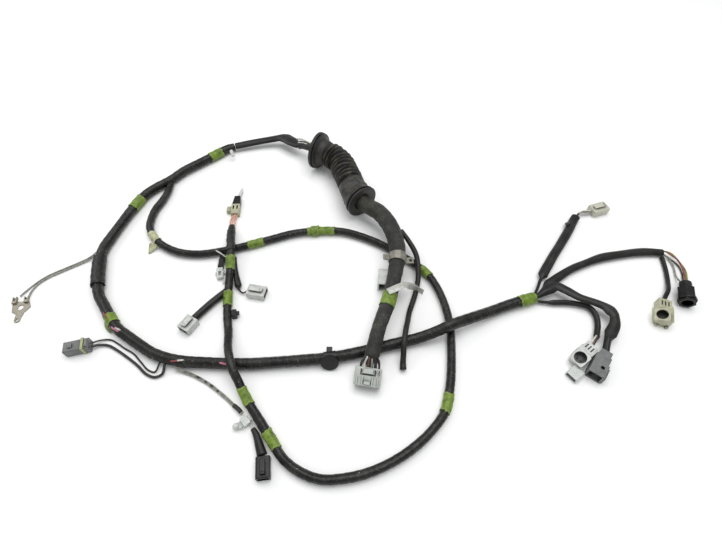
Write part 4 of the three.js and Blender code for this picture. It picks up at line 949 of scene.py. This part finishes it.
layTab("adhesiveTab", [
    [(-188.6, 186, 14), (-185, 189.4, 14)],
    [(-186, 181.4, 11.8), (-182, 185, 12)],
    [(-184.4, 177.4, 8), (-180, 181, 8)]],
    labelPaper, 0.3)
layTab("clusterStrip", [
    [(-176, 8.4, 10.6), (-174, 4.6, 10.6)],
    [(-170, 5, 10.8), (-167.6, 1.2, 10.8)],
    [(-163, -0.4, 10), (-160.6, -4, 10)],
    [(-157.6, -3.6, 8), (-155.6, -7, 8)]],
    labelPaper, 0.3)
print("scene: loose wires and tape ends laid")


bandShape = {  # heights and reaches in millimetres
    "sides": 40, "ringEvery": 0.9, "turnEvery": 10, "foldFrom": 0.93, "foldFall": 13, "foldHigh": 0.28,
    "creaseHigh": 0.22, "curlHigh": 0.35, "curlReach": 1.6, "raggedReach": 4, "rimReach": 2.5,
    "inside": 0.02, "insideEdge": 0.12,
}


# A taped band: follows the bundle, winds over itself and has ragged, curling edges
def wrapBand(name, nodes, route, spot, width, material, seed, thick=0.5, ragged=1.5):
    b = bandShape
    sides = b["sides"]
    middle = route.nearest(spot)
    start, end = middle - width / 2 * mm, middle + width / 2 * mm
    count = max(10, round(width / b["ringEvery"]))
    bm = bmesh.new()
    outer, inner, alongs = [], [], []
    for i in range(count + 1):
        share = i / count
        near = min(share, 1 - share) * width
        ringOut, ringIn = [], []
        for k in range(sides):
            turn = k / sides
            edgeSeed = seed + (7 if share > 0.5 else 0)
            shake = noise.noise(Vector((*ringSpot(turn, 2.2), edgeSeed)))
            shake += 0.45 * noise.noise(Vector((*ringSpot(turn, 7), edgeSeed)))
            pull = ragged * mm * shake * (1 if share < 0.5 else -1) * max(0, 1 - near / b["raggedReach"])
            s = start + (end - start) * share - pull
            spiral = (share * width / b["turnEvery"] + turn) % 1
            fold = b["foldHigh"] * spiral
            if spiral >= b["foldFrom"]:
                fold = b["foldHigh"] * (1 - spiral) * b["foldFall"]
            crease = b["creaseHigh"] * noise.noise(Vector((s * 420, turn * 8, seed)))
            curl = b["curlHigh"] * max(0, 1 - near / b["curlReach"]) * (0.5 + shake)
            ringOut.append(bm.verts.new(route.surface(s, turn, (thick + fold + crease + curl) * mm)))
            under = b["inside"] if 0 < i < count else b["insideEdge"]
            ringIn.append(bm.verts.new(route.surface(s, turn, under * mm)))
        outer.append(ringOut)
        inner.append(ringIn)
        alongs.append((end - start) * share)
    skinRings(bm, outer + inner[::-1], alongs + alongs[::-1], True)
    piece = addPiece(name, bm, material)
    rim = piece.data.attributes.new("rim", "FLOAT", "POINT")
    values = []
    for i in range(count + 1):
        near = min(i, count - i) / count * width
        values += [max(0.0, 1 - near / b["rimReach"])] * sides * 2
    rim.data.foreach_set("value", values)
    return rigid(piece, nodes)


bands = [
    ("stem_tape", stem, (30, -72, 22.5), 17, greenTape),
    ("trunk_tape_1", trunk, (-209, 185, 7), 19, greenTape),
    ("trunk_tape_2", trunk, (-294, 88, 7), 19, greenTape),
    ("trunk_tape_3", trunk, (-271.4, -87, 7), 12.5, greenTape),
    ("trunk_tape_4", trunk, (185.4, -61.4, 7), 19, greenTape),
    ("loop_tape_1", loop, (-256, 30, 5.6), 17, creamTape),
    ("loop_tape_2", loop, (-130, 22, 5.6), 19, greenTape),
    ("loop_tape_3", loop, (-50, 42, 5.6), 34, greenTape),
    ("loop_tape_4", loop, (76, -22, 5.6), 15, greenTape),
    ("loop_tape_5", loop, (84, -178, 5.6), 19, greenTape),
    ("loop_tape_6", loop, (-83, -213, 5.6), 19, greenTape),
    ("loop_tape_7", loop, (-113, -173, 6), 19, greenTape),
    ("loop_tape_8", loop, (-150, -59, 5.6), 19, greenTape),
    ("loop_tape_9", loop, (-153, -13, 13), 17, greenTape),
]
wrapBand("loop_tape_3_fold", [], loop, (-58, 42, 5.6), 8, greenTape, 61.0, 2.0, 2.4)
for seed, (name, route, spot, width, material) in enumerate(bands):
    wrapBand(name + "_band", [name], route, spot, width, material, seed * 3.1 + 0.5)
wrapBand("trunk_sheath_sleeve", ["trunk_sheath"], trunk, (-307, -22, 7.6), 42, sleeveVinyl,
         50.0, 1.3, 3.2)
wrapBand("loop_end_sleeve", [], loop, (-156.6, 19, 15.2), 34, sleeveVinyl, 57.0, 0.6, 0.5)
print("scene: tapes wound")


# Rubber boot: a ring is extruded and scaled along its profile, then the whole is bent onto
# the stem
bootShape = {
    "sides": 60, "length": 125, "rimRadius": 25, "rimThick": 9, "rimLip": 4.6, "grooveDepth": 3.2,
    "grooveWide": 2.2, "coneLength": 12.5, "neckRadius": 15.2, "foldRadius": 17.2, "foldDepth": 5.4,
    "foldPitch": 6.5, "folds": 10, "collarRadius": 17.4, "flangeRadius": 21.6, "flangeThick": 7,
    "mouthRadius": 10.6, "boreRadius": 7.6, "place": (-62.5, 174.5, 25), "ripple": 0.9, "dent": 1.7,
    "dentFrom": 84, "dentBefore": 0.25, "squash": 0.4, "lean": 0.7, "smoothBelow": 50,
}


def bootRings(b):  # (radius, distance along, dust and painted light) from the first rim to the mouth and back in
    # The third value is patchy dust and painted light: high on ridge tops and lip edges as painted highlights,
    # 0 in valleys and grooves as painted shade
    rim, thick, slot = b["rimRadius"], b["rimThick"], b["grooveWide"]
    lip = b["rimLip"]
    rings = [(b["boreRadius"], 0, 0.3), (rim - 3, 0, 0.2), (rim - 1, 0.1, 0.1), (rim - 0.2, 0.7, 0)]
    rings += [(rim, 1.5, 0), (rim, lip - 0.3, 0.2), (rim - 0.3, lip, 0.4)]
    rings += [(rim - b["grooveDepth"], lip + 0.1, 0), (rim - b["grooveDepth"], lip + slot - 0.1, 0)]
    rings += [(rim - 0.8, lip + slot, 0.4), (rim - 0.5, lip + slot + 0.5, 0.1)]
    rings += [(rim - 0.9, thick - 1, 0), (rim - 2, thick, 0.1), (rim - 4, thick + 0.4, 0.6)]
    start = thick + b["coneLength"]
    for k in range(1, 6):
        share = k / 6
        radius = rim - 5 + (b["neckRadius"] - rim + 5) * share ** 0.8
        rings.append((radius, thick + b["coneLength"] * share, 0.5 * (1 - share)))
    low, high = b["foldRadius"] - b["foldDepth"], b["foldRadius"]
    fold = (  # place along the fold, share of its depth, dust and painted light (1 on the ridge top as a painted highlight, 0 in the valley as painted shade)
        (0.0, 0.06, 0), (0.12, 0.0, 0), (0.24, 0.06, 0), (0.36, 0.5, 0.15), (0.48, 0.93, 0.6),
        (0.6, 1, 1), (0.7, 0.93, 0.6), (0.84, 0.5, 0.1))
    for count in range(b["folds"]):
        for place, mix, dust in fold:
            rings.append((low + (high - low) * mix, start + (count + place) * b["foldPitch"], dust))
    end = start + b["folds"] * b["foldPitch"]
    flange = b["length"] - b["flangeThick"]
    collar, wide = b["collarRadius"], b["flangeRadius"]
    rings += [(low + 0.5, end, 1), (low + 1.6, end + 1.6, 0.8), (collar - 1.2, end + 3, 0.5),
    (collar, end + 5, 0.3)]
    for k in range(1, 12):
        share = k / 11
        radius = collar + 0.4 * math.sin(math.pi * share) + 2 * share ** 5
        rings.append((radius, end + 5 + (flange - 2 - end - 5) * share, 0.45))
    lip = (b["flangeThick"] - slot) / 2
    rings += [(wide - 1.4, flange - 1, 0.3), (wide - 0.6, flange, 0), (wide - 0.6, flange + lip - 0.2, 0.2)]
    rings += [(wide - b["grooveDepth"], flange + lip, 0), (wide - b["grooveDepth"], flange + lip + slot, 0)]
    mouth, last = b["mouthRadius"], b["length"]
    rings += [(wide - 0.2, flange + lip + slot + 0.2, 0.2), (wide, last - 1.4, 0)]
    rings += [(wide - 0.5, last - 0.4, 0), (wide - 1.4, last, 0), (mouth + 4, last - 0.2, 0.3)]
    rings += [(mouth + 1, last - 0.4, 0.6), (mouth, last - 1.2, 0.8), (mouth, last - 10, 1)]
    for k in range(14):
        rings.append((b["boreRadius"], (last - 15) * (1 - k / 14), 1))
    return rings + [(b["boreRadius"], 0, 0.3)]


def makeBoot(b):
    rings = bootRings(b)
    bpy.ops.object.select_all(action="DESELECT")
    bpy.ops.mesh.primitive_circle_add(vertices=b["sides"], radius=rings[0][0] * mm, location=(0, 0, 0))
    piece = bpy.context.object
    piece.name = "bellowsBoot"
    bpy.ops.object.mode_set(mode="EDIT")
    bpy.ops.mesh.select_all(action="SELECT")
    for (before, low, _), (radius, along, _) in zip(rings, rings[1:]):
        grow = radius / before
        bpy.ops.mesh.extrude_region_move(TRANSFORM_OT_translate={"value": (0, 0, (along - low) * mm)})
        bpy.ops.transform.resize(value=(grow, grow, 1), center_override=(0, 0, along * mm))
    bpy.ops.object.mode_set(mode="OBJECT")
    # Painted light: these values become the dust attribute, which lightens ridges and leaves valleys dark
    dustAndPaintedLight = [dust for _, _, dust in rings for _ in range(b["sides"])]
    layer = piece.data.attributes.new("dust", "FLOAT", "POINT")
    layer.data.foreach_set("value", dustAndPaintedLight)
    start = stem.nearest(b["place"])
    soft = b["rimThick"] + 6
    for vertex in piece.data.vertices:  # bent onto the stem, and a little crumpled
        x, y, along = vertex.co / mm
        radius, angle = math.hypot(x, y), math.atan2(y, x)
        point, up, side, tangent = stem.at(start + along * mm)
        slack = min(1, max(0, (along - soft) / 12), max(0, (b["length"] - 6 - along) / 10))
        if radius <= b["mouthRadius"] + 0.5:
            slack = 0
        ripple = noise.noise(Vector((along * 0.07, math.cos(angle) * 1.1, math.sin(angle) * 1.1)))
        dent = noise.noise(Vector((along * 0.16, math.cos(angle) * 2.2 + 9, math.sin(angle) * 2.2)))
        dent *= 1 if along > b["dentFrom"] else b["dentBefore"]  # the collar is crumpled more than the folds
        swell = b["ripple"] * ripple + b["dent"] * dent - b["squash"] * math.cos(2 * angle)
        radius += slack * swell
        lean = slack * b["lean"] * math.sin(angle * 2 + along * 0.3) * mm
        vertex.co = point + (up * math.cos(angle) + side * math.sin(angle)) * radius * mm + tangent * lean
        vertex.co.z = max(vertex.co.z, shift.z)
    bpy.ops.object.mode_set(mode="EDIT")
    bpy.ops.mesh.select_all(action="SELECT")
    bpy.ops.mesh.remove_doubles(threshold=0.000001)
    bpy.ops.mesh.normals_make_consistent(inside=False)
    bpy.ops.object.mode_set(mode="OBJECT")
    piece.data.materials.append(bootRubber)
    bpy.ops.object.shade_smooth_by_angle(angle=math.radians(b["smoothBelow"]))
    return rigid(piece, ["boot"])


makeBoot(bootShape)
print("scene: boot made")


stripShape = {"twist": 78, "twistFrom": 0.35, "twistRate": 2.2, "bow": 0.05}


# Label strip: a bare coated strip curled over the stem and the spare tube
def makeStrip():
    route = Route([
        (28.9, -66.5, 31.8), (35.4, -63.3, 31.8), (42.1, -59.2, 31), (46.8, -54.4, 26.6),
        (51.2, -50.3, 20), (58.8, -47.2, 12), (64.7, -48.1, 8.9), (70.5, -51.8, 8.2)], 1.0)
    section = (  # across the strip and up, in millimetres
        (-4, 0.18), (-2, 0.22), (0, 0.25), (2, 0.22), (4, 0.18), (4, -0.18), (0, -0.12), (-4, -0.18))
    bm = bmesh.new()
    rings, alongs = [], []
    for i, point in enumerate(route.points):
        s = route.length * i / route.count
        _, up, side, tangent = route.at(s)
        twisted = min(1, max(0, s / route.length - stripShape["twistFrom"]) * stripShape["twistRate"])
        twist = Quaternion(tangent, math.radians(stripShape["twist"]) * twisted)
        up, side = twist @ up, twist @ side
        ring = []
        for across, high in section:
            lift = high + stripShape["bow"] * abs(across)
            ring.append(bm.verts.new(point + side * across * mm + up * lift * mm))
        rings.append(ring)
        alongs.append(s)
    skinRings(bm, rings, alongs, False)
    for ring in (rings[0], rings[-1]):
        bm.faces.new(ring)
    return rigid(addPiece("labelStrip", bm, labelPaper, False), ["label_strip"])


makeStrip()

# Pale floor and plain studio light
bpy.ops.object.select_all(action="DESELECT")
bpy.ops.mesh.primitive_plane_add(size=8, location=(0, 0, 0))
floor = bpy.context.object
floor.name = "floor"
floor.data.materials.append(paleFloorMaterial())

lamps = {  # place, aimed at, size and power in watts
    "overhead": ((0.2, 0.3, 1.8), (0, 0, 0), 1.6, 24),
    "window": ((-1.3, 0.9, 1.3), (0, 0, 0), 1.0, 7),
}
for name, (place, target, size, power) in lamps.items():
    aim = (Vector(target) - Vector(place)).to_track_quat("-Z", "Y").to_euler()
    bpy.ops.object.light_add(type="AREA", location=place, rotation=aim)
    lamp = bpy.context.object
    lamp.name = name
    lamp.data.size = size
    lamp.data.energy = power
world = bpy.data.worlds.new("studio")
bpy.context.scene.world = world
world.use_nodes = True
world.node_tree.nodes["Background"].inputs["Color"].default_value = hexColour("#f2f3f5")
world.node_tree.nodes["Background"].inputs["Strength"].default_value = 0.62
bpy.context.scene.view_settings.view_transform = "Standard"
print("scene: floor and light set")
